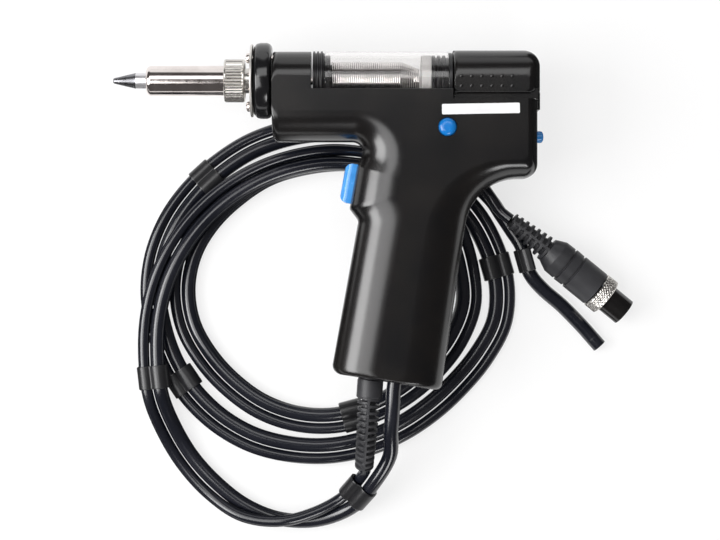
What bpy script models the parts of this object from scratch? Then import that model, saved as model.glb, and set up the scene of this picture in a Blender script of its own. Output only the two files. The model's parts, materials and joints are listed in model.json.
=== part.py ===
"""Pistol-shaped vacuum desoldering pump with its lead, vacuum hose, cord clips and connector.

Gun frame, before the shift to the box centre: the origin is on the barrel's axis at the
housing's front face, +X runs to the rear, +Y up from the grip to the barrel and +Z out of
the left side. The gun lies on its right side on its own cords, so +Z is also up in the world.
"""

import bpy
import bmesh
from math import acos, atan2, ceil, cos, hypot, pi, radians, sin, tan
from mathutils import Matrix, Vector

MM = 0.001

# Clearances
GAP = 0.3 * MM            # between pieces that touch
CORD_GAP = 0.35 * MM      # between cords that touch

# Housing
HALF_THICKNESS = 16.5 * MM
WALL = 2.2 * MM
EDGE_WALL = 4.0 * MM      # upright part of the wall at the parting line
ROUNDING = 12.5 * MM      # how far in from the outline the side is rounded
BARREL_TOP = 12.1 * MM
BARREL_UNDERSIDE = 26.2 * MM
REAR_UNDERSIDE = 42.1 * MM
THROAT_X = 41.0 * MM      # where the underside meets the trigger edge
EDGE_TOP_IN = 4.8 * MM    # the trigger edge's two ends and the notch below it, from the throat
EDGE_TOP_DOWN = 10.8 * MM
EDGE_FOOT_IN = 8.1 * MM
EDGE_FOOT_DOWN = 29.0 * MM
NOTCH_IN = 4.3 * MM
NOTCH_DOWN = 34.0 * MM
GRIP_TILT = radians(9.2)
GRIP_WIDTH = 47.8 * MM
GRIP_BASE_X = 48.6 * MM
GRIP_BASE_DEPTH = 129.25 * MM
GRIP_BACK_X = 85.5 * MM
FRONT_WALL = 2.5 * MM

# Filter tube and its bay
TUBE_RADIUS = 12.5 * MM
TUBE_WALL = 1.3 * MM
TUBE_LENGTH = 52.8 * MM
BAY_START = 16.5 * MM
CRADLE_EDGE = 4.6 * MM    # the bay's edge lies this far below the axis
BULKHEAD = 2.0 * MM
SEAL_START = 17.2 * MM
SEAL_LIP = 4.9 * MM
SEAL_PLUG = 2.6 * MM      # how far the front seal reaches into the tube
SPIGOT_RADIUS = 6.9 * MM
SPIGOT_LENGTH = 4.0 * MM
COIL_RADIUS = 8.25 * MM
COIL_TAPER = 8.4 * MM
COIL_NOSE_RADIUS = 5.2 * MM
COIL_WALL = 1.0 * MM
COIL_TURNS = 8
COIL_CLEAR = 11.9 * MM    # from the coil's nose to the tube's end
FIBRE_LENGTH = 4.4 * MM
FIBRE_BORE = 2.2 * MM
REAR_PLUG = 7.0 * MM
REAR_LIP = 1.9 * MM       # room for the rear seal's lip between tube and cap

# Heater end
PIPE_RADIUS = 1.6 * MM
PIPE_BORE = 1.0 * MM
HEATER_RADIUS = 4.0 * MM
HOLDER_RADIUS = 5.4 * MM
THREAD_RADIUS = 7.3 * MM
RING_RADIUS = 16.3 * MM
RING_WIDTH = 8.0 * MM
PLATE_RADIUS = 15.6 * MM
PLATE_THICKNESS = 0.9 * MM
NECK_LENGTH = 2.6 * MM
NUT_RADIUS = 9.2 * MM
NUT_LENGTH = 8.8 * MM
NUT_TEETH = 30
SLEEVE_RADIUS = 6.5 * MM
SLEEVE_LENGTH = 33.6 * MM
SLEEVE_WALL = 0.8 * MM
NOZZLE_RADIUS = 3.45 * MM
NOZZLE_SHOWN = 4.5 * MM   # the bright cylinder in front of the sleeve
NOZZLE_CONE = 9.8 * MM
NOZZLE_BORE = 0.6 * MM
FLANGE_SCREW_CIRCLE = 12.0 * MM
FLANGE_SCREW_ANGLES = (42.0, 162.0, 282.0)

# Rear cap
CAP_TOP = 12.6 * MM
CAP_BOTTOM = 6.4 * MM
CAP_HALF = 15.6 * MM
CAP_WALL = 2.0 * MM
CAP_TRAVEL = 9.0 * MM
CAP_OVERHANG = 1.1 * MM
CAP_LENGTH = 37.3 * MM
CAP_TAB_DEPTH = 12.9 * MM
CAP_TAB_HALF = 6.0 * MM
DECK_DEPTH = 8.9 * MM
DECK_THICKNESS = 2.0 * MM
RAIL_IN = 10.4 * MM
RAIL_OUT = 11.9 * MM
RAIL_LENGTH = 10.0 * MM
HOOK_DEPTH = 2.2 * MM
HOOK_REACH = 1.6 * MM
SKIRT_OUT = 13.6 * MM
OUTLET_RADIUS = 3.4 * MM
OUTLET_BORE = 1.6 * MM
OUTLET_SEAT = 2.1 * MM    # how far the outlet sits in the elbow when the cap is shut
ELBOW_RADIUS = 4.9 * MM
ELBOW_LEG_RADIUS = 2.4 * MM
ELBOW_LEG_DROP = 3.0 * MM
ELBOW_PORT_RADIUS = 1.2 * MM
ELBOW_WALL = 2.7 * MM
VACUUM_TUBE_RADIUS = 2.6 * MM
COUPLER_RADIUS = 3.6 * MM
COUPLER_LENGTH = 13.0 * MM

# Trigger, buttons and switches
TRIGGER_LENGTH = 17.0 * MM
TRIGGER_WIDTH = 8.4 * MM
TRIGGER_PROUD = 5.0 * MM
TRIGGER_TRAVEL = 3.0 * MM
TRIGGER_DEPTH = 44.6 * MM
TRIGGER_ROUNDING = 2.2 * MM
FLANGE_THICK = 1.8 * MM   # of the trigger's inner flange
FLANGE_SIDE = 1.2 * MM
SWITCH_DEPTH = 6.4 * MM
SWITCH_HALF = 10.0 * MM
SWITCH_THICK = 6.4 * MM
STEM_LENGTH = 3.4 * MM
STEM_HALF = 1.3 * MM
RELEASE_DEPTH = 24.2 * MM
RELEASE_RADIUS = 2.6 * MM
RELEASE_PROUD = 3.0 * MM
RELEASE_TRAVEL = 2.2 * MM
RELEASE_STEM_RADIUS = 1.4 * MM
RELEASE_RIB = 9.6 * MM    # from the rear face to the rib that carries its spring
RELEASE_RIB_THICK = 2.2 * MM
SIDE_BUTTON_X = 74.4 * MM
SIDE_BUTTON_DEPTH = 20.9 * MM
SIDE_BUTTON_RADIUS = 3.8 * MM
SIDE_BUTTON_PROUD = 1.7 * MM
SIDE_BUTTON_TRAVEL = 1.2 * MM
SIDE_SWITCH_HALF = 3.0 * MM
SIDE_SWITCH_HEIGHT = 3.4 * MM
BOARD_Z = 5.5 * MM
BOARD_THICK = 1.6 * MM
BOARD_POST_RADIUS = 2.0 * MM
BOARD_POST_INSET = 2.5 * MM

# Housing screws
SCREW_RADIUS = 1.35 * MM
SCREW_LENGTH = 20.5 * MM
SCREW_SEAT = 9.7 * MM     # the head's seat, below the parting line
SCREW_HEAD_RADIUS = 2.7 * MM
SCREW_HEAD = 2.0 * MM
BOSS_RADIUS = 3.9 * MM

# Cords
CABLE_RADIUS = 2.5 * MM
HOSE_RADIUS = 3.2 * MM
CABLE_EXIT = -6.7 * MM    # along the grip's base, from its middle
HOSE_EXIT = 3.8 * MM
CORD_SPACING = 16.0 * MM  # between a cord's points, where it runs on its own
PAIR_STEP = 16.7 * MM     # between the points of the shared route
CLIP_LENGTH = 10.2 * MM
CLIP_WALL = 1.1 * MM
BOOT_LENGTH = 40.0 * MM
BOOT_COLLAR = 7.7 * MM
BOOT_RADIUS = 5.6 * MM
BOOT_RIB_RADIUS = 4.9 * MM
BOOT_END_RADIUS = 4.1 * MM
BOOT_RIBS = 12
BOOT_BEND = radians(35.0)
BOOT_TILT = radians(4.0)

# Connector
PLUG_BODY_RADIUS = 8.2 * MM
PLUG_BODY_LENGTH = 27.0 * MM
PLUG_BOOT_LENGTH = 21.0 * MM
PLUG_BOOT_RADIUS = 4.8 * MM
PLUG_RIBS = 7
PLUG_RIB_RADIUS = 3.6 * MM
PLUG_GROOVES = (9.0 * MM, 14.0 * MM)
COUPLING_RADIUS = 8.4 * MM
COUPLING_LENGTH = 5.8 * MM
COUPLING_TEETH = 28
INSERT_RADIUS = 6.1 * MM
INSERT_LENGTH = 10.0 * MM
INSERT_STEP = 0.8 * MM
KEYWAY_RADIUS = 0.9 * MM

# Places that follow from the sizes, along the barrel's axis
RING_BACK = -GAP
RING_FRONT = RING_BACK - RING_WIDTH
PLATE_BACK = RING_FRONT - GAP
PLATE_FRONT = PLATE_BACK - PLATE_THICKNESS
NUT_BACK = PLATE_FRONT - NECK_LENGTH
NUT_FRONT = NUT_BACK - NUT_LENGTH
SLEEVE_FRONT = NUT_FRONT - SLEEVE_LENGTH
SLEEVE_LIP = 1.5 * MM
NOZZLE_TIP = SLEEVE_FRONT - NOZZLE_SHOWN - NOZZLE_CONE
TUBE_START = SEAL_START + SEAL_LIP + GAP
TUBE_END = TUBE_START + TUBE_LENGTH
CAP_START = TUBE_END + REAR_LIP
CAP_END = CAP_START + CAP_LENGTH
HOUSING_LENGTH = CAP_END - CAP_OVERHANG
TROUGH_RADIUS = TUBE_RADIUS + 0.5 * MM
SOCKET_START = CAP_START + CAP_WALL + CAP_TRAVEL + GAP
OUTLET_END = SOCKET_START + OUTLET_SEAT
SOCKET_END = OUTLET_END + CAP_TRAVEL + GAP
ELBOW_END = SOCKET_END + ELBOW_WALL
ELBOW_X = ELBOW_END - ELBOW_RADIUS + 0.4 * MM
ELBOW_FOOT = DECK_DEPTH + DECK_THICKNESS + ELBOW_LEG_DROP
RAIL_START = CAP_START + CAP_TRAVEL + BULKHEAD + GAP
RIB_FRONT = HOUSING_LENGTH - RELEASE_RIB - RELEASE_RIB_THICK

# (x, depth below the axis) of the housing screws
SCREW_PLACES = ((7.0 * MM, 20.6 * MM), (58.0 * MM, 27.0 * MM),
                (HOUSING_LENGTH - 8.8 * MM, 36.0 * MM), (64.0 * MM, 118.0 * MM))

# Trigger frame: u runs into the grip, v up along the trigger edge
EDGE_TILT = atan2(EDGE_FOOT_IN - EDGE_TOP_IN, EDGE_FOOT_DOWN - EDGE_TOP_DOWN)
TRIGGER_MIDDLE = Vector((THROAT_X - EDGE_FOOT_IN
                         + (BARREL_UNDERSIDE + EDGE_FOOT_DOWN - TRIGGER_DEPTH) * tan(EDGE_TILT),
                         -TRIGGER_DEPTH, 0))
TRIGGER_FRAME = Matrix.Translation(TRIGGER_MIDDLE) @ Matrix.Rotation(-EDGE_TILT, 4, "Z")
TRIGGER_INWARD = Vector((cos(EDGE_TILT), -sin(EDGE_TILT), 0))
FLANGE_U = WALL + 0.8 * MM
STEM_U = FLANGE_U + FLANGE_THICK + STEM_LENGTH
SWITCH_U = STEM_U + TRIGGER_TRAVEL + GAP

# Control board under the side button
BOARD_LOW = (SIDE_BUTTON_X - 10.5 * MM, -SIDE_BUTTON_DEPTH - 12.0 * MM)
BOARD_HIGH = (SIDE_BUTTON_X + 9.0 * MM, -SIDE_BUTTON_DEPTH + 4.4 * MM)
BOARD_TOP = BOARD_Z + BOARD_THICK
FLOOR_TO_GUN = 2.0 * HOSE_RADIUS * 2.0 + 2.0 * CORD_GAP + 0.4 * MM
CLEAR = 60.0 * MM         # how far a cutter runs past what it cuts

# The route that the lead and the hose share: (x, y, lift above the table, roll in degrees).
# At roll 0 the lead is on the right of the way they run, at 180 on the left, at 90 on top.
PAIR_ROUTE = (
    (18.0, -114.0, 15.3, 0), (13.2, -121.0, 10.2, 0), (9.4, -124.8, 7.4, 4), (4.0, -128.4, 4.7, 20),
    (-5.0, -131.9, 2.3, 45), (-16.0, -133.8, 0.6, 75), (-29.5, -132.5, 0, 112), (-42.5, -127.0, 0, 150),
    (-53.5, -118.0, 0, 176), (-65.5, -104.0, 0.2, 180), (-72.5, -90.0, 3.0, 180),
    (-76.5, -78.0, 6.9, 180), (-78.0, -67.0, 7.4, 180),
    (-78.2, -52.0, 7.0, 180), (-76.5, -37.0, 6.8, 180), (-72.0, -24.0, 6.8, 180),
    (-66.0, -12.0, 6.8, 180), (-58.5, -2.0, 6.8, 180), (-49.5, 7.0, 6.8, 180),
    (-38.5, 14.5, 6.8, 180), (-27.0, 20.5, 6.8, 180), (-14.0, 24.5, 6.8, 180),
    (0.0, 26.5, 6.8, 180), (14.0, 25.5, 6.8, 180), (27.0, 22.0, 6.8, 180), (38.0, 15.5, 6.8, 180),
    (47.4, 6.0, 6.8, 180), (54.4, -4.5, 5.4, 180), (59.0, -16.0, 2.1, 180), (61.5, -28.0, 0, 180),
    (61.6, -40.0, 0, 180), (57.6, -50.8, 0, 180), (50.9, -61.2, 0, 180), (41.9, -70.8, 0, 180),
    (30.7, -79.4, 0, 180), (17.4, -86.1, 0, 180), (3.0, -89.9, 0, 180), (-11.2, -89.7, 0, 180),
    (-24.8, -86.4, 0, 180), (-37.8, -78.8, 0, 180), (-48.8, -69.2, 0, 180),
    (-57.8, -57.4, 0, 180), (-63.6, -44.8, 0, 180), (-65.2, -32.0, 0, 180),
    (-63.5, -20.0, 0, 180), (-59.0, -8.5, 0, 180), (-51.4, 1.5, 0, 180), (-42.5, 9.9, 0, 180),
    (-32.0, 17.5, 0, 180), (-20.0, 22.5, 0, 180), (-6.0, 25.5, 0, 180), (8.5, 26.5, 0, 180),
    (22.5, 25.0, 0, 180), (37.0, 21.0, 0, 180), (50.0, 14.5, 0, 180), (60.5, 5.5, 0, 180),
    (67.6, -4.6, 0, 180), (72.0, -13.4, 0, 180), (76.0, -26.0, 0, 180), (76.8, -40.6, 0, 180),
    (72.2, -53.6, 0, 180), (64.0, -66.0, 0, 180), (53.6, -77.4, 0, 180), (41.6, -87.6, 0, 180),
    (27.8, -95.8, 0, 180), (13.0, -101.2, 0, 180), (-3.2, -103.6, 0, 180), (-19.0, -102.5, 0, 180),
    (-33.8, -98.6, 0, 180), (-47.6, -91.0, 0, 180), (-59.0, -80.8, 0, 180), (-68.2, -68.2, 0, 180),
    (-74.0, -54.5, 0, 180), (-77.5, -40.0, 0, 180), (-77.8, -25.5, 0, 180),
    (-74.5, -11.5, 0, 180), (-68.0, 2.0, 0, 180), (-58.5, 14.0, 0, 180), (-47.0, 24.0, 0, 180),
    (-34.0, 32.0, 0, 180), (-20.0, 37.0, 0, 180), (-4.0, 39.5, 0, 180), (12.0, 40.0, 0, 180),
    (28.0, 38.0, 0, 180), (43.0, 33.5, 0, 172), (55.2, 25.2, 0, 140), (65.0, 16.0, 0.2, 105),
    (71.2, 8.6, 0.2, 92),
)
# The rest of each cord's own way to its far end: (x, y, height of its axis above the table)
CABLE_FAR = ((75.3, 2.7, 11.0),)
HOSE_FAR = ((75.9, 1.8, 3.2), (81.2, -6.2, 3.7), (85.5, -13.2, 4.7), (88.6, -24.2, 4.7),
            (94.8, -31.8, 3.8), (103.0, -38.8, 3.2), (111.5, -47.4, 3.2), (120.0, -57.0, 3.2))
HOSE_NEAR = ((27.8, -82.0, 29.6), (27.0, -93.5, 27.1), (26.6, -104.0, 23.2))
PLUG_START = (80.3, -1.4, 11.8)   # where the connector's boot starts, above the table
PLUG_HEADING = radians(-39.0)
# The double clips: each is halfway between this point of the shared route and the next
CLIP_PLACES = (0, 8, 27, 45, 57, 63)


# ---------------------------------------------------------------- scene and helpers

for leftover in list(bpy.data.objects):
    bpy.data.objects.remove(leftover, do_unlink=True)

PARTS = bpy.data.collections.new("desoldering_pump")
CUTTERS = bpy.data.collections.new("cutters")
bpy.context.scene.collection.children.link(PARTS)
bpy.context.scene.collection.children.link(CUTTERS)


def material(name, color, roughness, metallic=0.0, alpha=1.0):
    """A plain Principled material."""
    made = bpy.data.materials.new(name)
    made.use_nodes = True
    shader = made.node_tree.nodes["Principled BSDF"]
    shader.inputs["Base Color"].default_value = (*color, 1.0)
    shader.inputs["Roughness"].default_value = roughness
    shader.inputs["Metallic"].default_value = metallic
    shader.inputs["Alpha"].default_value = alpha
    return made


BLACK_CASE = material("black_case", (0.02, 0.02, 0.022), 0.35)
BLACK_GLOSS = material("black_gloss", (0.015, 0.015, 0.017), 0.15)
BLACK_RUBBER = material("black_rubber", (0.02, 0.02, 0.022), 0.6)
CORD_SKIN = material("cord_skin", (0.015, 0.017, 0.022), 0.3)
BLUE = material("blue_plastic", (0.03, 0.24, 0.72), 0.35)
STEEL = material("steel", (0.62, 0.58, 0.55), 0.22, 1.0)
DARK_STEEL = material("dark_steel", (0.28, 0.28, 0.3), 0.35, 1.0)
BRIGHT_METAL = material("bright_metal", (0.78, 0.77, 0.74), 0.2, 1.0)
GLASS = material("clear_glass", (0.9, 0.92, 0.93), 0.03, 0.0, 0.3)
FILTER_WHITE = material("white_fibre", (0.85, 0.84, 0.8), 0.9)
CERAMIC = material("ceramic", (0.8, 0.76, 0.7), 0.6)
SILICONE = material("silicone", (0.75, 0.75, 0.72), 0.5)
GREEN_BOARD = material("circuit_board", (0.05, 0.22, 0.1), 0.5)


def frame_root(name, place):
    """An empty that carries pieces whose coordinates are local to it."""
    root = bpy.data.objects.new(name, None)
    root.location = place
    PARTS.objects.link(root)
    return root


def put(name, mesh, finish, root):
    """Adds a mesh as a named piece on its carrying empty."""
    piece = bpy.data.objects.new(name, mesh)
    PARTS.objects.link(piece)
    piece.parent = root
    piece.data.materials.append(finish)
    return piece


def as_cutter(piece):
    """Moves a piece to the cutters, where it only shapes others."""
    PARTS.objects.unlink(piece)
    CUTTERS.objects.link(piece)
    piece.hide_render = True
    piece.display_type = "WIRE"
    return piece


def boolean(piece, other, operation="DIFFERENCE"):
    """Cuts or joins a piece with another, exactly."""
    step = piece.modifiers.new(other.name, "BOOLEAN")
    step.operation = operation
    step.solver = "EXACT"
    step.object = other
    return piece


def mesh_of(name, bm):
    """Turns a bmesh into a mesh that is shaded smooth between sharp edges."""
    bmesh.ops.recalc_face_normals(bm, faces=bm.faces)
    mesh = bpy.data.meshes.new(name)
    bm.to_mesh(mesh)
    bm.free()
    mesh.shade_smooth()
    mesh.set_sharp_from_angle(angle=radians(35.0))
    return mesh


# ---------------------------------------------------------------- outlines

def turn_at(before, corner, after):
    """Signed angle that the outline turns through at a corner, positive to the left."""
    a = Vector((corner[0] - before[0], corner[1] - before[1]))
    b = Vector((after[0] - corner[0], after[1] - corner[1]))
    turn = acos(max(-1.0, min(1.0, a.normalized().dot(b.normalized()))))
    return turn if a.cross(b) > 0 else -turn


def inset_corners(corners, distance, soft=False):
    """Moves every edge of an outline of (x, y, radius, softness) corners inwards.

    With soft, each edge moves by its own softness, the share of the distance that it takes.
    """
    moved = []
    count = len(corners)
    for i, corner in enumerate(corners):
        before, after = corners[i - 1], corners[(i + 1) % count]
        lines = []
        for start, end in ((before, corner), (corner, after)):
            along = Vector((end[0] - start[0], end[1] - start[1])).normalized()
            inward = Vector((-along.y, along.x))
            shift = distance * (start[3] if soft else 1.0)
            lines.append((Vector(start[:2]) + inward * shift, along, shift))
        (p, d, s), (q, e, t) = lines
        along_first = (q - p).cross(e) / d.cross(e)
        point = p + d * along_first
        convex = d.cross(e) > 0
        radius = corner[2] + (-(s + t) / 2 if convex else (s + t) / 2)
        moved.append((point.x, point.y, max(radius, 0.05 * MM), corner[3]))
    return moved


def rounded(corners, step=radians(24.0)):
    """The points of an outline, with each corner an arc of its radius."""
    count = len(corners)
    turns = [turn_at(corners[i - 1], corners[i], corners[(i + 1) % count]) for i in range(count)]
    reach = [c[2] * tan(abs(t) / 2) for c, t in zip(corners, turns)]
    for i in range(count):
        nxt = (i + 1) % count
        length = hypot(corners[nxt][0] - corners[i][0], corners[nxt][1] - corners[i][1])
        over = (reach[i] + reach[nxt]) / (0.98 * length)
        if over > 1.0:
            reach[i], reach[nxt] = reach[i] / over, reach[nxt] / over
    points = []
    for i, corner in enumerate(corners):
        here = Vector(corner[:2])
        back = (Vector(corners[i - 1][:2]) - here).normalized()
        ahead = (Vector(corners[(i + 1) % count][:2]) - here).normalized()
        radius = reach[i] / tan(abs(turns[i]) / 2)
        centre = here + (back + ahead).normalized() * radius / cos(turns[i] / 2)
        parts = max(1, ceil(abs(turns[i]) / step))
        start = here + back * reach[i] - centre
        for k in range(parts + 1):
            arm = start.copy()
            arm.rotate(Matrix.Rotation(turns[i] * k / parts, 2))
            points.append(centre + arm)
    return points


def loft(bm, rings):
    """Joins rings of equally many points into one closed solid."""
    loops = [[bm.verts.new(point) for point in ring] for ring in rings]
    for lower, upper in zip(loops, loops[1:]):
        for i in range(len(lower)):
            j = (i + 1) % len(lower)
            bm.faces.new((lower[i], lower[j], upper[j], upper[i]))
    bm.faces.new(loops[0][::-1])
    bm.faces.new(loops[-1])


def pillow(name, corners, side, base, half, finish, root, steps=4):
    """A half shell's solid: upright at the parting line, then rounded over to a flat side."""
    rings = [(0.0, base), (0.0, EDGE_WALL)]
    for k in range(1, steps + 1):
        angle = pi / 2 * k / steps
        rings.append((ROUNDING * (1 - cos(angle)), EDGE_WALL + (half - EDGE_WALL) * sin(angle)))
    bm = bmesh.new()
    loft(bm, [[(p.x, p.y, side * z) for p in rounded(inset_corners(corners, inset, soft=True))]
              for inset, z in rings])
    return put(name, mesh_of(name, bm), finish, root)


# ---------------------------------------------------------------- simple solids

def box(name, low, high, finish, root, bevel=0.0):
    """A block between two corners, with rounded edges if asked."""
    bm = bmesh.new()
    size = Vector(high) - Vector(low)
    middle = (Vector(high) + Vector(low)) / 2
    bmesh.ops.create_cube(bm, size=1.0, matrix=Matrix.Translation(middle) @ Matrix.Diagonal((*size, 1.0)))
    if bevel:
        bmesh.ops.bevel(bm, geom=bm.edges[:], offset=bevel, segments=2, profile=0.5,
                        affect="EDGES", material=-1)
    return put(name, mesh_of(name, bm), finish, root)


def rod(name, start, end, radius, finish, root, sides=24):
    """A plain cylinder between two points."""
    start, end = Vector(start), Vector(end)
    turn = Vector((0, 0, 1)).rotation_difference(end - start).to_matrix().to_4x4()
    bm = bmesh.new()
    bmesh.ops.create_cone(bm, cap_ends=True, segments=sides, radius1=radius, radius2=radius,
                          depth=(end - start).length,
                          matrix=Matrix.Translation((start + end) / 2) @ turn)
    return put(name, mesh_of(name, bm), finish, root)


def turned(name, outer, bore, finish, root, place=(0, 0, 0), heading=(1, 0, 0), steps=20):
    """A turned piece: (distance, radius) pairs from its first end to its last, outside and bore."""
    profile = list(reversed(outer)) + list(bore)
    bm = bmesh.new()
    verts = [bm.verts.new((radius, 0, distance)) for distance, radius in profile]
    for a, b in zip(verts, verts[1:]):
        bm.edges.new((a, b))
    if bore:
        bm.edges.new((verts[-1], verts[0]))
    mesh = bpy.data.meshes.new(name)
    bm.to_mesh(mesh)
    bm.free()
    piece = put(name, mesh, finish, root)
    screw = piece.modifiers.new("turn", "SCREW")
    screw.steps = steps
    screw.render_steps = steps
    screw.use_merge_vertices = True
    screw.merge_threshold = 0.00001
    piece.location = place
    piece.rotation_mode = "QUATERNION"
    piece.rotation_quaternion = Vector((0, 0, 1)).rotation_difference(Vector(heading))
    return piece


def knurled(name, radius, length, teeth, finish, root, place, heading):
    """A short cylinder with upright knurls, as one extruded outline."""
    bm = bmesh.new()
    points = []
    for k in range(2 * teeth):
        r = radius if k % 2 else radius * 0.955
        points.append((r * cos(pi * k / teeth), r * sin(pi * k / teeth), 0))
    face = bm.faces.new([bm.verts.new(p) for p in points])
    pushed = bmesh.ops.extrude_face_region(bm, geom=[face])
    tops = [v for v in pushed["geom"] if isinstance(v, bmesh.types.BMVert)]
    bmesh.ops.translate(bm, verts=tops, vec=(0, 0, length))
    piece = put(name, mesh_of(name, bm), finish, root)
    piece.location = place
    piece.rotation_mode = "QUATERNION"
    piece.rotation_quaternion = Vector((0, 0, 1)).rotation_difference(Vector(heading))
    return piece


# ---------------------------------------------------------------- curves

def smooth_points(points, spacing=None, parts=1):
    """The given points, with more on the smooth curve between those that are far apart."""
    points = [Vector(p) for p in points]
    ends = [2 * points[0] - points[1]] + points + [2 * points[-1] - points[-2]]
    made = []
    for a, b, c, d in zip(ends, ends[1:], ends[2:], ends[3:]):
        count = max(1, round((c - b).length / spacing)) if spacing else parts
        for k in range(count):
            t = k / count
            made.append(0.5 * (2 * b + (c - a) * t + (2 * a - 5 * b + 4 * c - d) * t * t
                               + (3 * b - a - 3 * c + d) * t ** 3))
    made.append(points[-1])
    return made


def evenly(fine, spacing):
    """Points at even steps along a finely drawn line, whose first three numbers are places."""
    lengths = [0.0]
    for a, b in zip(fine, fine[1:]):
        lengths.append(lengths[-1] + (b - a).xyz.length)
    count = round(lengths[-1] / spacing)
    picked, i = [], 0
    for k in range(count + 1):
        want = lengths[-1] * k / count
        while i < len(fine) - 2 and lengths[i + 1] < want:
            i += 1
        share = (want - lengths[i]) / (lengths[i + 1] - lengths[i])
        picked.append(fine[i].lerp(fine[i + 1], min(1.0, share)))
    return picked


def cord(name, points, radius, finish, root, radii=None, sides=2):
    """A solid cord along its points, with its own radius at each point if given."""
    curve = bpy.data.curves.new(name, "CURVE")
    curve.dimensions = "3D"
    curve.bevel_depth = radius
    curve.bevel_resolution = sides
    curve.use_fill_caps = True
    spline = curve.splines.new("POLY")
    spline.points.add(len(points) - 1)
    for i, (point, place) in enumerate(zip(spline.points, points)):
        point.co = (*place, 1.0)
        point.radius = radii[i] / radius if radii else 1.0
    piece = bpy.data.objects.new(name, curve)
    PARTS.objects.link(piece)
    piece.parent = root
    curve.materials.append(finish)
    return piece


# ---------------------------------------------------------------- the housing's outline

def grip_point(along, down):
    """A point in the grip's frame: along the base towards the back, and down past the base."""
    return Vector((GRIP_BASE_X + along * cos(GRIP_TILT) - down * sin(GRIP_TILT),
                   -GRIP_BASE_DEPTH - along * sin(GRIP_TILT) - down * cos(GRIP_TILT), 0))


def housing_corners():
    """(x, y, radius, softness of the edge that follows) round the housing, to the left."""
    front_foot = grip_point(-GRIP_WIDTH / 2, 0)
    back_foot = grip_point(GRIP_WIDTH / 2, 0)
    return [
        (0, -BARREL_UNDERSIDE, 2.5 * MM, 1.0),
        (THROAT_X, -BARREL_UNDERSIDE, 4.5 * MM, 1.5),
        (THROAT_X - EDGE_TOP_IN, -BARREL_UNDERSIDE - EDGE_TOP_DOWN, 6.0 * MM, 1.5),
        (THROAT_X - EDGE_FOOT_IN, -BARREL_UNDERSIDE - EDGE_FOOT_DOWN, 1.5 * MM, 1.5),
        (THROAT_X - NOTCH_IN, -BARREL_UNDERSIDE - NOTCH_DOWN, 3.0 * MM, 1.5),
        (front_foot.x, front_foot.y, 4.0 * MM, 0.15),
        (back_foot.x, back_foot.y, 2.5 * MM, 1.4),
        (GRIP_BACK_X, -REAR_UNDERSIDE, 23.0 * MM, 0.6),
        (HOUSING_LENGTH, -REAR_UNDERSIDE, 6.0 * MM, 0.4),
        (HOUSING_LENGTH, BARREL_TOP, 6.0 * MM, 0.9),
        (0, BARREL_TOP, 1.0 * MM, 0.0),
    ]


def cap_corners():
    """The rear cap's outline, with its upper rear corner rounded off."""
    return [
        (CAP_START, -CAP_BOTTOM, 0.5 * MM, 0.05),
        (CAP_END, -CAP_BOTTOM, 1.0 * MM, 0.45),
        (CAP_END, CAP_TOP, 7.0 * MM, 0.95),
        (CAP_START, CAP_TOP, 0.5 * MM, 0.05),
    ]


OUTLINE = housing_corners()
GUN_LOW = Vector((NOZZLE_TIP, min(p.y for p in rounded(OUTLINE)), -HALF_THICKNESS))
GUN_HIGH = Vector((HOUSING_LENGTH + RELEASE_PROUD, RING_RADIUS, HALF_THICKNESS + SIDE_BUTTON_PROUD))
CENTRE = (GUN_LOW + GUN_HIGH) / 2
TABLE = -HALF_THICKNESS - FLOOR_TO_GUN - CENTRE.z
GUN = frame_root("gun", -CENTRE)


# ---------------------------------------------------------------- housing

def kept_inside(side):
    """Blocks of the housing that the cavity leaves standing, for one half."""
    wall_side = side * HALF_THICKNESS
    near = side * GAP / 2
    trough_end = CAP_START + CAP_TRAVEL + BULKHEAD
    kept = [rod("keep_trough", (BAY_START - BULKHEAD, 0, 0), (trough_end, 0, 0),
                TROUGH_RADIUS + 1.6 * MM, BLACK_CASE, GUN, 32),
            box("keep_front", (-CLEAR, -CLEAR, -CLEAR), (FRONT_WALL, CLEAR, CLEAR), BLACK_CASE, GUN),
            box("keep_deck", (CAP_START, -DECK_DEPTH - DECK_THICKNESS, -CLEAR),
                (HOUSING_LENGTH + CLEAR, CLEAR, CLEAR), BLACK_CASE, GUN),
            box("keep_release_rib", (RIB_FRONT, -RELEASE_DEPTH - 5 * MM, -CLEAR),
                (RIB_FRONT + RELEASE_RIB_THICK, -DECK_DEPTH - DECK_THICKNESS - HOOK_DEPTH - MM, CLEAR),
                BLACK_CASE, GUN)]
    for x, depth in SCREW_PLACES:
        kept.append(rod("keep_boss", (x, -depth, near), (x, -depth, wall_side), BOSS_RADIUS,
                        BLACK_CASE, GUN, 16))
    kept.append(tilted_box("keep_switch_seat", SWITCH_U + 0.8 * MM, SWITCH_U + SWITCH_DEPTH - 0.8 * MM,
                           -SWITCH_HALF + 1 * MM, SWITCH_HALF - 1 * MM,
                           side * (SWITCH_THICK / 2 + GAP), wall_side))
    post = BOARD_TOP + GAP if side > 0 else -(BOARD_Z - GAP)
    post_y = BOARD_LOW[1] + BOARD_POST_INSET
    for x in (BOARD_LOW[0] + BOARD_POST_INSET, BOARD_HIGH[0] - BOARD_POST_INSET):
        kept.append(rod("keep_post", (x, post_y, side * post), (x, post_y, wall_side),
                        BOARD_POST_RADIUS, BLACK_CASE, GUN, 12))
    clamp_mid = grip_point(HOSE_EXIT, -WALL - 9.3 * MM)
    kept.append(rod("keep_coupler_clamp", (clamp_mid.x, clamp_mid.y, side * (COUPLER_RADIUS + GAP)),
                    (clamp_mid.x, clamp_mid.y, wall_side), 2.6 * MM, BLACK_CASE, GUN, 12))
    return [as_cutter(piece) for piece in kept]


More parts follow.
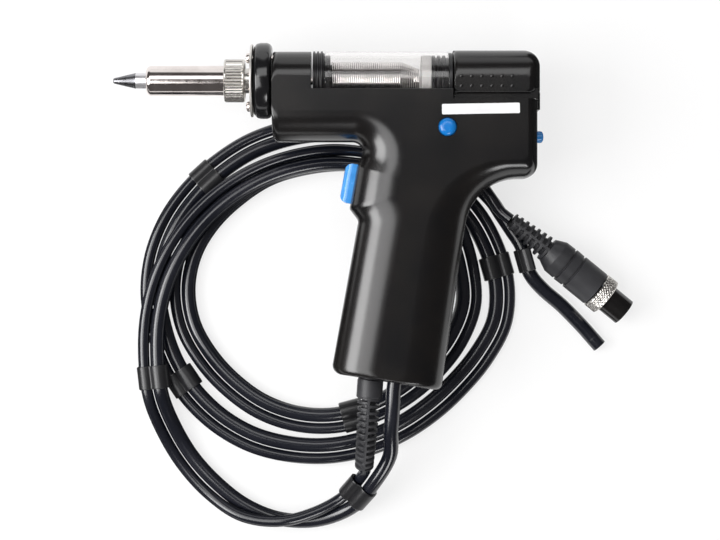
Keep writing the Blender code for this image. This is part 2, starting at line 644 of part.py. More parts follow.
def tilted_box(name, u_low, u_high, v_low, v_high, z_low, z_high):
    """A block in the trigger's frame: u into the grip, v up along its front edge."""
    bm = bmesh.new()
    low_z, high_z = min(z_low, z_high), max(z_low, z_high)
    bmesh.ops.create_cube(bm, size=1.0, matrix=TRIGGER_FRAME
                          @ Matrix.Translation(((u_low + u_high) / 2, (v_low + v_high) / 2,
                                                (low_z + high_z) / 2))
                          @ Matrix.Diagonal((u_high - u_low, v_high - v_low, high_z - low_z, 1)))
    return put(name, mesh_of(name, bm), BLACK_CASE, GUN)


def common_cuts():
    """Cutters that pass through both halves of the housing."""
    release = (0, -RELEASE_DEPTH, 0)
    inner_face = HOUSING_LENGTH - WALL
    boot_seat = grip_point(CABLE_EXIT, 0)
    hose_seat = grip_point(HOSE_EXIT, 0)
    down = Vector((-sin(GRIP_TILT), -cos(GRIP_TILT), 0))
    return [as_cutter(piece) for piece in (
        box("cut_bay", (BAY_START, -CRADLE_EDGE, -CLEAR), (CAP_START, CLEAR, CLEAR), BLACK_CASE, GUN),
        box("cut_cap_bay", (CAP_START - GAP, -DECK_DEPTH, -CLEAR),
            (HOUSING_LENGTH + CLEAR, CLEAR, CLEAR), BLACK_CASE, GUN),
        rod("cut_trough", (BAY_START, 0, 0), (TUBE_END + GAP, 0, 0), TROUGH_RADIUS, BLACK_CASE, GUN, 32),
        rod("cut_bulkhead", (0, 0, 0), (BAY_START + MM, 0, 0), PIPE_RADIUS + GAP, BLACK_CASE, GUN, 16),
        rod("cut_front", (-MM, 0, 0), (FRONT_WALL + MM, 0, 0), HOLDER_RADIUS - 0.9 * MM + GAP,
            BLACK_CASE, GUN),
        rod("cut_seal_flange", (TUBE_END, 0, 0), (CAP_START + CAP_TRAVEL, 0, 0), TUBE_RADIUS + GAP,
            BLACK_CASE, GUN, 32),
        tilted_box("cut_trigger", -CLEAR / 2, FLANGE_U + MM, -TRIGGER_LENGTH / 2 - GAP,
                   TRIGGER_LENGTH / 2 + GAP, -TRIGGER_WIDTH / 2 - GAP, TRIGGER_WIDTH / 2 + GAP),
        rod("cut_release", (inner_face - MM, release[1], 0), (HOUSING_LENGTH + MM, release[1], 0),
            RELEASE_RADIUS + GAP, BLACK_CASE, GUN, 16),
        rod("cut_release_stem", (RIB_FRONT - MM, release[1], 0),
            (RIB_FRONT + RELEASE_RIB_THICK + MM, release[1], 0), RELEASE_STEM_RADIUS + GAP,
            BLACK_CASE, GUN, 12),
        rod("cut_boot", boot_seat - down * 2 * WALL, boot_seat + down * MM, BOOT_RADIUS - 1.6 * MM + GAP,
            BLACK_CASE, GUN),
        rod("cut_hose", hose_seat - down * 2 * WALL, hose_seat + down * MM, HOSE_RADIUS + GAP,
            BLACK_CASE, GUN),
        rod("cut_elbow", (ELBOW_X, -DECK_DEPTH - DECK_THICKNESS - MM, 0), (ELBOW_X, 0, 0),
            ELBOW_LEG_RADIUS + GAP, BLACK_CASE, GUN, 16),
    )] + flange_screw_cuts(-MM, FRONT_WALL + MM)


def flange_screw_cuts(start, end):
    """Clearance holes for the three screws that hold the heater's flange."""
    cuts = []
    for angle in FLANGE_SCREW_ANGLES:
        y = FLANGE_SCREW_CIRCLE * cos(radians(angle))
        z = FLANGE_SCREW_CIRCLE * sin(radians(angle))
        cuts.append(as_cutter(rod("cut_flange_screw", (start, y, z), (end, y, z), 1.4 * MM,
                                  BLACK_CASE, GUN, 12)))
    return cuts


def own_cuts(side):
    """Cutters of one half: rail slot, screw holes and, on the left, the side button's hole."""
    cuts = [box("cut_rail", (RAIL_START - GAP, -CLEAR / 4, min(side * (RAIL_IN - GAP), side * (RAIL_OUT + GAP))),
                (RAIL_START + RAIL_LENGTH + CAP_TRAVEL + GAP, 0,
                 max(side * (RAIL_IN - GAP), side * (RAIL_OUT + GAP))), BLACK_CASE, GUN)]
    for x, depth in SCREW_PLACES:
        if side > 0:
            cuts.append(rod("cut_screw", (x, -depth, -MM), (x, -depth, 11 * MM), SCREW_RADIUS + GAP,
                            BLACK_CASE, GUN, 12))
        else:
            cuts.append(rod("cut_screw", (x, -depth, MM), (x, -depth, -CLEAR), SCREW_RADIUS + GAP,
                            BLACK_CASE, GUN, 12))
            cuts.append(rod("cut_head", (x, -depth, -SCREW_SEAT), (x, -depth, -CLEAR),
                            SCREW_HEAD_RADIUS + GAP, BLACK_CASE, GUN, 16))
    if side > 0:
        cuts.append(rod("cut_side_button", (SIDE_BUTTON_X, -SIDE_BUTTON_DEPTH, HALF_THICKNESS - 2 * WALL),
                        (SIDE_BUTTON_X, -SIDE_BUTTON_DEPTH, HALF_THICKNESS + MM),
                        SIDE_BUTTON_RADIUS + GAP, BLACK_CASE, GUN))
    return [as_cutter(piece) for piece in cuts]


def housing_half(name, side, cuts):
    """One moulded half of the housing, hollow, with its bosses, ribs and openings."""
    shell = pillow(name, OUTLINE, side, GAP / 2, HALF_THICKNESS, BLACK_CASE, GUN)
    cavity = pillow("cavity_" + name, inset_corners(OUTLINE, WALL), side, -MM,
                    HALF_THICKNESS - WALL, BLACK_CASE, GUN, steps=3)
    as_cutter(cavity)
    for block in kept_inside(side):
        boolean(cavity, block)
    boolean(shell, cavity)
    for cutter in cuts + own_cuts(side):
        boolean(shell, cutter)
    return shell


def housing_screws():
    """Four screws that enter from the right side and bite in the left half's bosses."""
    for number, (x, depth) in enumerate(SCREW_PLACES, 1):
        head_top = -SCREW_SEAT - GAP - SCREW_HEAD
        turned(f"housing_screw_{number}",
               [(0, 0), (0, 1.9 * MM), (0.6 * MM, SCREW_HEAD_RADIUS), (SCREW_HEAD, SCREW_HEAD_RADIUS),
                (SCREW_HEAD, SCREW_RADIUS), (SCREW_HEAD + SCREW_LENGTH - MM, SCREW_RADIUS),
                (SCREW_HEAD + SCREW_LENGTH, 0)],
               [], STEEL, GUN, (x, -depth, head_top), (0, 0, 1), 12)


# ---------------------------------------------------------------- heater end

def heater_end():
    """Nozzle, sleeve, nut, holder, flange plate and ring on the barrel's axis."""
    front, lip = SLEEVE_FRONT, SLEEVE_FRONT + SLEEVE_LIP
    back = NUT_FRONT + 2.3 * MM
    inner = SLEEVE_RADIUS - SLEEVE_WALL
    round_off = 2.2 * MM
    shoulder = [(front + round_off * (1 - cos(a)), SLEEVE_RADIUS - round_off * (1 - sin(a)))
                for a in (0, pi / 6, pi / 3, pi / 2)]
    turned("nozzle_sleeve",
           shoulder + [(NUT_FRONT + MM, SLEEVE_RADIUS), (NUT_FRONT + MM, THREAD_RADIUS), (back, THREAD_RADIUS)],
           [(front, NOZZLE_RADIUS + GAP), (lip, NOZZLE_RADIUS + GAP), (lip, inner), (back, inner)],
           STEEL, GUN)
    seat = lip + GAP
    turned("nozzle",
           [(NOZZLE_TIP, 1.1 * MM), (NOZZLE_TIP + NOZZLE_CONE, NOZZLE_RADIUS), (seat, NOZZLE_RADIUS),
            (seat, inner - GAP), (seat + 1.4 * MM, inner - GAP), (seat + 1.4 * MM, NOZZLE_RADIUS),
            (seat + 6.5 * MM, NOZZLE_RADIUS)],
           [(NOZZLE_TIP, NOZZLE_BORE), (seat + 2.5 * MM, NOZZLE_BORE),
            (seat + 2.5 * MM, PIPE_RADIUS + GAP), (seat + 6.5 * MM, PIPE_RADIUS + GAP)],
           DARK_STEEL, GUN)
    heater_start = seat + 6.5 * MM + GAP
    turned("heater_core", [(heater_start, HEATER_RADIUS), (5.5 * MM, HEATER_RADIUS)],
           [(heater_start, PIPE_RADIUS + GAP), (5.5 * MM, PIPE_RADIUS + GAP)], CERAMIC, GUN)
    turned("suction_pipe", [(seat + 2.5 * MM + GAP, PIPE_RADIUS), (SEAL_START + 3.4 * MM, PIPE_RADIUS)],
           [(seat + 2.5 * MM + GAP, PIPE_BORE), (SEAL_START + 3.4 * MM, PIPE_BORE)], STEEL, GUN, steps=16)
    holder_front = back + GAP
    turned("heater_holder",
           [(holder_front, THREAD_RADIUS), (NUT_BACK - 0.5 * MM, THREAD_RADIUS),
            (NUT_BACK - 0.5 * MM, HOLDER_RADIUS), (PLATE_BACK + GAP, HOLDER_RADIUS),
            (PLATE_BACK + GAP, THREAD_RADIUS), (RING_BACK - GAP, THREAD_RADIUS),
            (RING_BACK - GAP, HOLDER_RADIUS - 0.9 * MM), (3.6 * MM, HOLDER_RADIUS - 0.9 * MM)],
           [(holder_front, HEATER_RADIUS + GAP / 2), (3.6 * MM, HEATER_RADIUS + GAP / 2)],
           BRIGHT_METAL, GUN)
    nut = knurled("retaining_nut", NUT_RADIUS, NUT_LENGTH, NUT_TEETH, BRIGHT_METAL, GUN,
                  (NUT_FRONT, 0, 0), (1, 0, 0))
    boolean(nut, as_cutter(rod("bore_nut_lip", (NUT_FRONT - MM, 0, 0), (NUT_BACK + MM, 0, 0),
                               SLEEVE_RADIUS + GAP, STEEL, GUN)))
    boolean(nut, as_cutter(rod("bore_nut", (NUT_FRONT + 0.7 * MM, 0, 0), (NUT_BACK + MM, 0, 0),
                               THREAD_RADIUS + GAP, STEEL, GUN)))
    plate = turned("flange_plate", [(PLATE_FRONT, PLATE_RADIUS), (PLATE_BACK, PLATE_RADIUS)],
                   [(PLATE_FRONT, HOLDER_RADIUS + GAP), (PLATE_BACK, HOLDER_RADIUS + GAP)],
                   BRIGHT_METAL, GUN, steps=32)
    soft = 2.0 * MM
    ring = turned("front_ring",
                  [(RING_FRONT, RING_RADIUS - soft), (RING_FRONT + soft * 0.3, RING_RADIUS - soft * 0.3),
                   (RING_FRONT + soft, RING_RADIUS), (RING_BACK - soft, RING_RADIUS),
                   (RING_BACK - soft * 0.3, RING_RADIUS - soft * 0.3), (RING_BACK, RING_RADIUS - soft)],
                  [(RING_FRONT, THREAD_RADIUS + GAP), (RING_BACK, THREAD_RADIUS + GAP)],
                  BLACK_GLOSS, GUN, steps=32)
    for cutter in flange_screw_cuts(PLATE_FRONT - MM, RING_BACK + MM):
        boolean(plate, cutter)
        boolean(ring, cutter)
    for number, angle in enumerate(FLANGE_SCREW_ANGLES, 1):
        y = FLANGE_SCREW_CIRCLE * cos(radians(angle))
        z = FLANGE_SCREW_CIRCLE * sin(radians(angle))
        turned(f"flange_screw_{number}",
               [(0, 0), (0, 1.5 * MM), (0.5 * MM, 2.2 * MM), (1.6 * MM, 2.2 * MM),
                (1.6 * MM, 1.1 * MM), (-PLATE_FRONT + 1.9 * MM + 2 * MM, 1.1 * MM),
                (-PLATE_FRONT + 1.9 * MM + 2.2 * MM, 0)],
               [], STEEL, GUN, (PLATE_FRONT - 1.6 * MM - GAP, y, z), (1, 0, 0), 12)


# ---------------------------------------------------------------- filter

def filter_tube():
    """Glass tube with its end seals, the wire prefilter and the white fibre filter."""
    inside = TUBE_RADIUS - TUBE_WALL
    groove = TUBE_RADIUS - 0.6 * MM
    ribs = []
    pitch = SEAL_LIP / 3
    for k in range(3):
        start = SEAL_START + k * pitch
        ribs += [(start, TUBE_RADIUS + 0.2 * MM), (start + pitch * 0.6, TUBE_RADIUS + 0.2 * MM),
                 (start + pitch * 0.6, groove), (start + pitch, groove)]
    lip_end = SEAL_START + SEAL_LIP
    plug_end = lip_end + SEAL_PLUG
    turned("front_seal",
           ribs[:-1] + [(lip_end, groove), (lip_end, inside - GAP), (plug_end, inside - GAP),
                        (plug_end, SPIGOT_RADIUS), (plug_end + SPIGOT_LENGTH, SPIGOT_RADIUS)],
           [(SEAL_START, PIPE_RADIUS + GAP), (plug_end + SPIGOT_LENGTH, PIPE_RADIUS + GAP)],
           BLACK_RUBBER, GUN)
    turned("filter_tube", [(TUBE_START, TUBE_RADIUS), (TUBE_END, TUBE_RADIUS)],
           [(TUBE_START, inside), (TUBE_END, inside)], GLASS, GUN, steps=32)
    coil_start = plug_end + GAP
    coil_end = TUBE_END - COIL_CLEAR
    taper = coil_end - COIL_TAPER
    pitch = (taper - coil_start) / COIL_TURNS
    outer = []
    for k in range(COIL_TURNS):
        start = coil_start + k * pitch
        outer += [(start, COIL_RADIUS), (start + pitch * 0.7, COIL_RADIUS),
                  (start + pitch * 0.85, COIL_RADIUS - GAP)]
    turned("preliminary_filter", outer + [(taper, COIL_RADIUS), (coil_end, COIL_NOSE_RADIUS)],
           [(coil_start, SPIGOT_RADIUS + GAP), (taper, SPIGOT_RADIUS + GAP),
            (coil_end, COIL_NOSE_RADIUS - COIL_WALL)], STEEL, GUN, steps=16)
    white_start = coil_end + GAP
    white_end = white_start + FIBRE_LENGTH
    turned("ceramic_filter", [(white_start, inside - GAP), (white_end, inside - GAP)],
           [(white_start, FIBRE_BORE), (white_end, FIBRE_BORE)], FILTER_WHITE, GUN)


def rear_seal():
    """Ribbed plug in the tube's rear end, carried by the sliding cap."""
    inside = TUBE_RADIUS - TUBE_WALL
    groove = inside - 1.2 * MM
    lip = TUBE_RADIUS - 0.5 * MM
    start = TUBE_END - REAR_PLUG
    pitch = REAR_PLUG * 0.94 / 3
    ribs = []
    for k in range(3):
        at = start + k * pitch
        ribs += [(at, inside - GAP), (at + pitch * 0.64, inside - GAP), (at + pitch * 0.64, groove),
                 (at + pitch, groove)]
    turned("rear_seal",
           ribs + [(TUBE_END + GAP, groove), (TUBE_END + GAP, lip), (CAP_START - GAP, lip),
                   (CAP_START - GAP, OUTLET_RADIUS), (OUTLET_END, OUTLET_RADIUS)],
           [(start, OUTLET_BORE), (OUTLET_END, OUTLET_BORE)], BLACK_RUBBER, GUN)


def sided(name, side, x_low, x_high, y_low, y_high, z_in, z_out):
    """A cutter block on one side of the middle plane, or its mirror image on the other."""
    return as_cutter(box(name, (x_low, y_low, min(side * z_in, side * z_out)),
                         (x_high, y_high, max(side * z_in, side * z_out)), BLACK_CASE, GUN))


def rear_cap():
    """Sliding cap over the rear seal, on skirts, with two hooks that run in the deck's slots."""
    cap = pillow("rear_cap", cap_corners(), 1, 0, CAP_HALF, BLACK_CASE, GUN)
    boolean(cap, as_cutter(pillow("cap_right", cap_corners(), -1, 0, CAP_HALF, BLACK_CASE, GUN)), "UNION")
    side_wall = CAP_WALL + 0.4 * MM
    hollow_start = CAP_START + CAP_WALL
    boolean(cap, as_cutter(box("cap_hollow", (hollow_start, -CLEAR, -CAP_HALF + side_wall),
                               (CAP_END - side_wall, CAP_TOP - 7.0 * MM, CAP_HALF - side_wall),
                               BLACK_CASE, GUN)))
    boolean(cap, as_cutter(box("cap_hollow_top", (hollow_start, -CLEAR, -CAP_HALF / 2),
                               (CAP_END - 7.0 * MM, CAP_TOP - CAP_WALL, CAP_HALF / 2), BLACK_CASE, GUN)))
    boolean(cap, as_cutter(rod("cap_port", (CAP_START - MM, 0, 0), (hollow_start + MM, 0, 0),
                               OUTLET_RADIUS + GAP, BLACK_CASE, GUN, 16)))
    rail_end = RAIL_START + RAIL_LENGTH
    deck_foot = -DECK_DEPTH - DECK_THICKNESS
    for side in (1, -1):
        boolean(cap, sided("cap_skirt", side, CAP_START + 0.6 * MM, CAP_END - 1.5 * MM,
                           -DECK_DEPTH + GAP, -CAP_BOTTOM + CAP_WALL, RAIL_IN, SKIRT_OUT), "UNION")
        boolean(cap, sided("cap_leg", side, RAIL_START, rail_end, deck_foot - HOOK_DEPTH,
                           -DECK_DEPTH + MM, RAIL_IN, RAIL_OUT), "UNION")
        boolean(cap, sided("cap_hook", side, RAIL_START, rail_end, deck_foot - HOOK_DEPTH,
                           deck_foot - GAP, RAIL_IN - HOOK_REACH, RAIL_OUT), "UNION")
    tab = box("cap_tab", (HOUSING_LENGTH + GAP, -CAP_TAB_DEPTH, -CAP_TAB_HALF),
              (CAP_END - 0.02 * MM, -CAP_BOTTOM + MM, CAP_TAB_HALF), BLACK_CASE, GUN)
    boolean(cap, as_cutter(tab), "UNION")


# ---------------------------------------------------------------- vacuum path and wiring inside

def vacuum_path():
    """Elbow on the deck, the soft tube down the grip and the coupler at its base."""
    elbow = rod("vacuum_elbow", (SOCKET_START, 0, 0), (ELBOW_END, 0, 0), ELBOW_RADIUS,
                BLACK_RUBBER, GUN, 16)
    foot_half = ELBOW_RADIUS - 0.4 * MM
    leg = rod("elbow_leg", (ELBOW_X, -ELBOW_FOOT, 0), (ELBOW_X, 0, 0), ELBOW_LEG_RADIUS,
              BLACK_RUBBER, GUN, 16)
    foot = box("elbow_foot", (ELBOW_X - foot_half, -DECK_DEPTH + GAP, -foot_half),
               (ELBOW_X + foot_half / 2, -MM, foot_half), BLACK_RUBBER, GUN)
    boolean(elbow, as_cutter(leg), "UNION")
    boolean(elbow, as_cutter(foot), "UNION")
    boolean(elbow, as_cutter(rod("elbow_socket", (SOCKET_START - MM, 0, 0), (SOCKET_END, 0, 0),
                                 OUTLET_RADIUS + GAP, BLACK_RUBBER, GUN, 16)))
    boolean(elbow, as_cutter(rod("elbow_port", (ELBOW_X, -CLEAR / 2, 0), (ELBOW_X, 0, 0),
                                 ELBOW_PORT_RADIUS, BLACK_RUBBER, GUN, 12)))
    top = Vector((ELBOW_X, -ELBOW_FOOT - GAP, 0))
    below = top + Vector((0, -RELEASE_DEPTH + ELBOW_FOOT + 4 * MM, 0))
    neck = Vector((GRIP_BACK_X - 2 * VACUUM_TUBE_RADIUS, -REAR_UNDERSIDE - 2 * WALL, 0))
    waist = grip_point(GRIP_WIDTH * 0.16, -GRIP_BASE_DEPTH + REAR_UNDERSIDE + 26 * MM)
    low = grip_point(HOSE_EXIT, -WALL - 2.0 * MM)
    up = (grip_point(HOSE_EXIT, -CLEAR) - low).normalized()
    coupler_top = low + up * (COUPLER_LENGTH + GAP)
    coupler_lead = low + up * (COUPLER_LENGTH + 9 * MM)
    way = [top, below, below.lerp(neck, 0.42), neck, waist, waist.lerp(coupler_lead, 0.55),
           coupler_lead, coupler_top]
    cord("vacuum_tube", smooth_points(way, 7.0 * MM), VACUUM_TUBE_RADIUS, SILICONE, GUN)
    barb = COUPLER_RADIUS - 0.8 * MM
    body = COUPLER_RADIUS - GAP
    rim = COUPLER_LENGTH * 6 / 13
    turned("hose_coupler",
           [(0, barb), (rim, body), (rim, COUPLER_RADIUS), (rim + 3 * MM, COUPLER_RADIUS),
            (rim + 3 * MM, body), (COUPLER_LENGTH, barb)],
           [(0, OUTLET_BORE), (COUPLER_LENGTH, OUTLET_BORE)], BRIGHT_METAL, GUN, low, up, 16)


def wiring():
    """Switch board under the side button, its switch, and the leads to it and to the heater."""
    box("control_board", (*BOARD_LOW, BOARD_Z), (*BOARD_HIGH, BOARD_Z + BOARD_THICK), GREEN_BOARD, GUN)
    top = BOARD_TOP + GAP
    half = SIDE_SWITCH_HALF
    box("side_switch", (SIDE_BUTTON_X - half, -SIDE_BUTTON_DEPTH - half, top),
        (SIDE_BUTTON_X + half, -SIDE_BUTTON_DEPTH + half, top + SIDE_SWITCH_HEIGHT), BLACK_CASE, GUN,
        0.3 * MM)
    start = grip_point(CABLE_EXIT, -WALL - 4.2 * MM)
    way = [start, grip_point(CABLE_EXIT + 1.5 * MM, -16 * MM) + Vector((0, 0, 2 * MM)),
           grip_point(CABLE_EXIT + 1 * MM, -44 * MM) + Vector((0, 0, 7.5 * MM)),
           Vector((BOARD_LOW[0] - 5 * MM, BOARD_LOW[1] - 24 * MM, 8.5 * MM)),
           Vector((BOARD_LOW[0] + 5.5 * MM, BOARD_LOW[1] - 9 * MM, 7.2 * MM)),
           Vector((BOARD_LOW[0] + 7.5 * MM, BOARD_LOW[1] - GAP - 3 * MM, BOARD_Z + BOARD_THICK / 2)),
           Vector((BOARD_LOW[0] + 7.5 * MM, BOARD_LOW[1] - GAP, BOARD_Z + BOARD_THICK / 2))]
    cord("power_leads", smooth_points(way, 6.0 * MM), 1.9 * MM, BLACK_RUBBER, GUN)
    level = -TROUGH_RADIUS - 4.8 * MM
    way = [Vector((BOARD_LOW[0] - GAP, level - 2.4 * MM, BOARD_Z + BOARD_THICK / 2)),
           Vector((BOARD_LOW[0] - GAP - 3 * MM, level - 2.4 * MM, BOARD_Z + BOARD_THICK / 2)),
           Vector((BOARD_LOW[0] - 10 * MM, level + 0.6 * MM, 7 * MM)), Vector((40 * MM, level, 7 * MM)),
           Vector((26 * MM, level, 7 * MM)), Vector((17 * MM, level, 6.5 * MM)),
           Vector((13 * MM, -17 * MM, 6 * MM)), Vector((10.2 * MM, -14.5 * MM, 4.5 * MM)),
           Vector((7.6 * MM, -10.5 * MM, 1.5 * MM)), Vector((5.4 * MM, -7.5 * MM, 0)),
           Vector((5.2 * MM, -HEATER_RADIUS - GAP, 0))]
    cord("heater_leads", smooth_points(way, 5.0 * MM), 1.1 * MM, SILICONE, GUN)


# ---------------------------------------------------------------- trigger and buttons

def trigger():
    """Blue trigger with its inner flange and stem, the switch behind it and the return spring."""
    bm = bmesh.new()
    low = Vector((-TRIGGER_PROUD, -TRIGGER_LENGTH / 2, -TRIGGER_WIDTH / 2))
    high = Vector((FLANGE_U + MM, TRIGGER_LENGTH / 2, TRIGGER_WIDTH / 2))
    size, middle = high - low, (high + low) / 2
    bmesh.ops.create_cube(bm, size=1.0, matrix=Matrix.Translation(middle) @ Matrix.Diagonal((*size, 1)))
    front = [e for e in bm.edges if all(v.co.x < middle.x for v in e.verts)]
    bmesh.ops.bevel(bm, geom=front, offset=TRIGGER_ROUNDING, segments=3, profile=0.5, affect="EDGES",
                    material=-1)
    bmesh.ops.transform(bm, matrix=TRIGGER_FRAME, verts=bm.verts)
    key = put("trigger", mesh_of("trigger", bm), BLUE, GUN)
    boolean(key, as_cutter(tilted_box("trigger_flange", FLANGE_U, FLANGE_U + FLANGE_THICK,
                                      -TRIGGER_LENGTH / 2 - 0.5 * MM, TRIGGER_LENGTH / 2 - 1.5 * MM,
                                      -TRIGGER_WIDTH / 2 - FLANGE_SIDE,
                                      TRIGGER_WIDTH / 2 + FLANGE_SIDE)), "UNION")
    boolean(key, as_cutter(tilted_box("trigger_stem", FLANGE_U + MM, STEM_U, -STEM_HALF, STEM_HALF,
                                      -STEM_HALF, STEM_HALF)), "UNION")
    switch = tilted_box("microswitch", SWITCH_U, SWITCH_U + SWITCH_DEPTH, -SWITCH_HALF, SWITCH_HALF,
                        -SWITCH_THICK / 2, SWITCH_THICK / 2)
    switch.data.materials[0] = BLACK_CASE
    pressed = FLANGE_U + FLANGE_THICK + TRIGGER_TRAVEL + GAP
    turned("trigger_spring", coil_profile(pressed, SWITCH_U - GAP, 2.9 * MM, 3),
           [(pressed, 2.2 * MM), (SWITCH_U - GAP, 2.2 * MM)], STEEL, GUN,
           TRIGGER_MIDDLE, TRIGGER_INWARD, 16)


def coil_profile(start, end, radius, turns):
    """Outer profile of a closed-up coil spring, wavy like its turns."""
    points = []
    for k in range(turns):
        at = start + (end - start) * k / turns
        step = (end - start) / turns
        points += [(at, radius - 0.25 * MM), (at + step / 2, radius)]
    return points + [(end, radius - 0.25 * MM)]


def release_button():
    """Blue rear button on a stem, with its spring against the rib behind it."""
    tip = HOUSING_LENGTH + RELEASE_PROUD
    flange_back = HOUSING_LENGTH - WALL - GAP
    flange_front = flange_back - 1.2 * MM
    flange_radius = RELEASE_RADIUS + 1.4 * MM
    rib_back = RIB_FRONT + RELEASE_RIB_THICK
    stem_end = rib_back - MM
    turned("release_button",
           [(stem_end, 0), (stem_end, RELEASE_STEM_RADIUS), (flange_front, RELEASE_STEM_RADIUS),
            (flange_front, flange_radius), (flange_back, flange_radius), (flange_back, RELEASE_RADIUS),
            (tip - 1.6 * MM, RELEASE_RADIUS), (tip - 0.5 * MM, RELEASE_RADIUS * 0.75),
            (tip, RELEASE_RADIUS * 0.3), (tip, 0)],
           [], BLUE, GUN, (0, -RELEASE_DEPTH, 0), (1, 0, 0), 16)
    seat = rib_back + GAP
    end = flange_front - RELEASE_TRAVEL - GAP
    bore = RELEASE_STEM_RADIUS + 0.4 * MM
    turned("release_spring", coil_profile(seat, end, bore + 0.9 * MM, 3), [(seat, bore), (end, bore)],
           STEEL, GUN, (0, -RELEASE_DEPTH, 0), (1, 0, 0), 16)


def side_button():
    """Blue domed button in the left side, over the small switch on the board."""
    inner = HALF_THICKNESS - WALL
    top = HALF_THICKNESS + SIDE_BUTTON_PROUD
    switch_top = BOARD_TOP + 2 * GAP + SIDE_SWITCH_HEIGHT
    turned("side_button",
           [(switch_top + SIDE_BUTTON_TRAVEL, 0), (switch_top + SIDE_BUTTON_TRAVEL, SIDE_BUTTON_RADIUS + MM),
            (inner - GAP, SIDE_BUTTON_RADIUS + MM), (inner - GAP, SIDE_BUTTON_RADIUS),
            (HALF_THICKNESS, SIDE_BUTTON_RADIUS), (top - 0.7 * MM, SIDE_BUTTON_RADIUS * 0.85),
            (top, SIDE_BUTTON_RADIUS * 0.4), (top, 0)],
           [], BLUE, GUN, (SIDE_BUTTON_X, -SIDE_BUTTON_DEPTH, 0), (0, 0, 1), 20)


# ---------------------------------------------------------------- cords and what is on them

TABLE_ROOT = frame_root("table_level", (0, 0, TABLE))


def pair_frames():
    """Even steps along the shared route, each with its place, level heading, heading and roll."""
    route = [Vector((x * MM, y * MM, lift * MM, radians(roll))) for x, y, lift, roll in PAIR_ROUTE]
    steps = evenly(smooth_points(route, parts=12), PAIR_STEP)
    frames = []
    for i, step in enumerate(steps):
        ahead = (steps[min(i + 1, len(steps) - 1)] - steps[max(i - 1, 0)]).xyz
        frames.append((step.xyz, Vector((ahead.x, ahead.y, 0)).normalized(), ahead.normalized(), step.w))
    return frames


def pair_places(frame):
    """Axis points of the lead and the hose at one frame of the shared route."""
    place, flat, heading, roll = frame
    right = Vector((flat.y, -flat.x, 0))
    half_width = CABLE_RADIUS + HOSE_RADIUS + CORD_GAP / 2
    low = max(place.z, 0.0)
    stacked = sin(roll)
    apart = CABLE_RADIUS + HOSE_RADIUS + CORD_GAP * (1 + 5 * stacked)
    hose = place - right * (half_width - HOSE_RADIUS) * cos(roll)
    hose.z = low + HOSE_RADIUS
    cable = place + right * (half_width - CABLE_RADIUS) * cos(roll)
    rise = max(0.0, apart * stacked) / hypot(heading.x, heading.y)
    cable.z = low + (1 - stacked) * CABLE_RADIUS + stacked * HOSE_RADIUS + rise
    return cable, hose


def boot_path(along):
    """A point on the gland's bent axis, in the gun's frame, and its direction."""
    start = grip_point(CABLE_EXIT, 2 * GAP)
    down = Vector((-sin(GRIP_TILT), -cos(GRIP_TILT), 0))
    if along <= 0:
        return start + down * along, down
    down = Vector((-sin(BOOT_TILT), -cos(BOOT_TILT), 0))
    bend_length = BOOT_LENGTH - BOOT_COLLAR
    if along <= BOOT_COLLAR:
        return start + down * along, down
    radius = bend_length / BOOT_BEND
    angle = (along - BOOT_COLLAR) / radius
    drop = Vector((0, 0, -1))
    point = start + down * (BOOT_COLLAR + radius * sin(angle)) + drop * radius * (1 - cos(angle))
    return point, down * cos(angle) + drop * sin(angle)


def strain_relief():
    """Gland with a neck through the grip's base, a collar and a ribbed, tapering boot."""
    neck = BOOT_RADIUS - 1.6 * MM
    stations = [(-WALL - 3.6 * MM, neck + 1.2 * MM), (-WALL - 1.2 * MM, neck + 1.2 * MM),
                (-WALL - 1.1 * MM, neck), (-GAP, neck), (-0.2 * MM, BOOT_RADIUS),
                (BOOT_COLLAR, BOOT_RADIUS)]
    pitch = (BOOT_LENGTH - BOOT_COLLAR) / BOOT_RIBS
    for k in range(BOOT_RIBS):
        at = BOOT_COLLAR + k * pitch
        crest = BOOT_RIB_RADIUS + (BOOT_END_RADIUS - BOOT_RIB_RADIUS) * (k + 0.5) / BOOT_RIBS
        stations += [(at + 0.1 * MM, crest - 1.0 * MM), (at + pitch * 0.35, crest - 1.0 * MM),
                     (at + pitch * 0.40, crest), (at + pitch * 0.98, crest)]
    stations.append((BOOT_LENGTH, BOOT_END_RADIUS - 0.3 * MM))
    points = [boot_path(s)[0] for s, _ in stations]
    cord("strain_relief", points, BOOT_RADIUS, BLACK_RUBBER, GUN, [r for _, r in stations])


def in_table_frame(point):
    """Moves a point of the gun's frame to the table's frame."""
    return point - CENTRE - Vector((0, 0, TABLE))


def cords():
    """The lead and the hose, from the grip to the connector and the bare end."""
    pairs = [pair_places(frame) for frame in pair_frames()]
    end = boot_path(BOOT_LENGTH + 2 * GAP)[0]
    cable_way = [in_table_frame(end)] + [lead for lead, _ in pairs]
    cable_way += [Vector(p) * MM for p in CABLE_FAR]
    cable_way.append(Vector(PLUG_START) * MM - plug_axis() * 2 * GAP)
    cord("power_cable", smooth_points(cable_way, CORD_SPACING), CABLE_RADIUS, CORD_SKIN, TABLE_ROOT)
    hose_way = [in_table_frame(grip_point(HOSE_EXIT, -WALL - 2.0 * MM + GAP)),
                in_table_frame(grip_point(HOSE_EXIT, 3.0 * MM))]
    hose_way += [Vector(p) * MM for p in HOSE_NEAR]
    hose_way += [hose for _, hose in pairs] + [Vector(p) * MM for p in HOSE_FAR]
    cord("vacuum_hose", smooth_points(hose_way, CORD_SPACING), HOSE_RADIUS, CORD_SKIN, TABLE_ROOT)
    return pairs


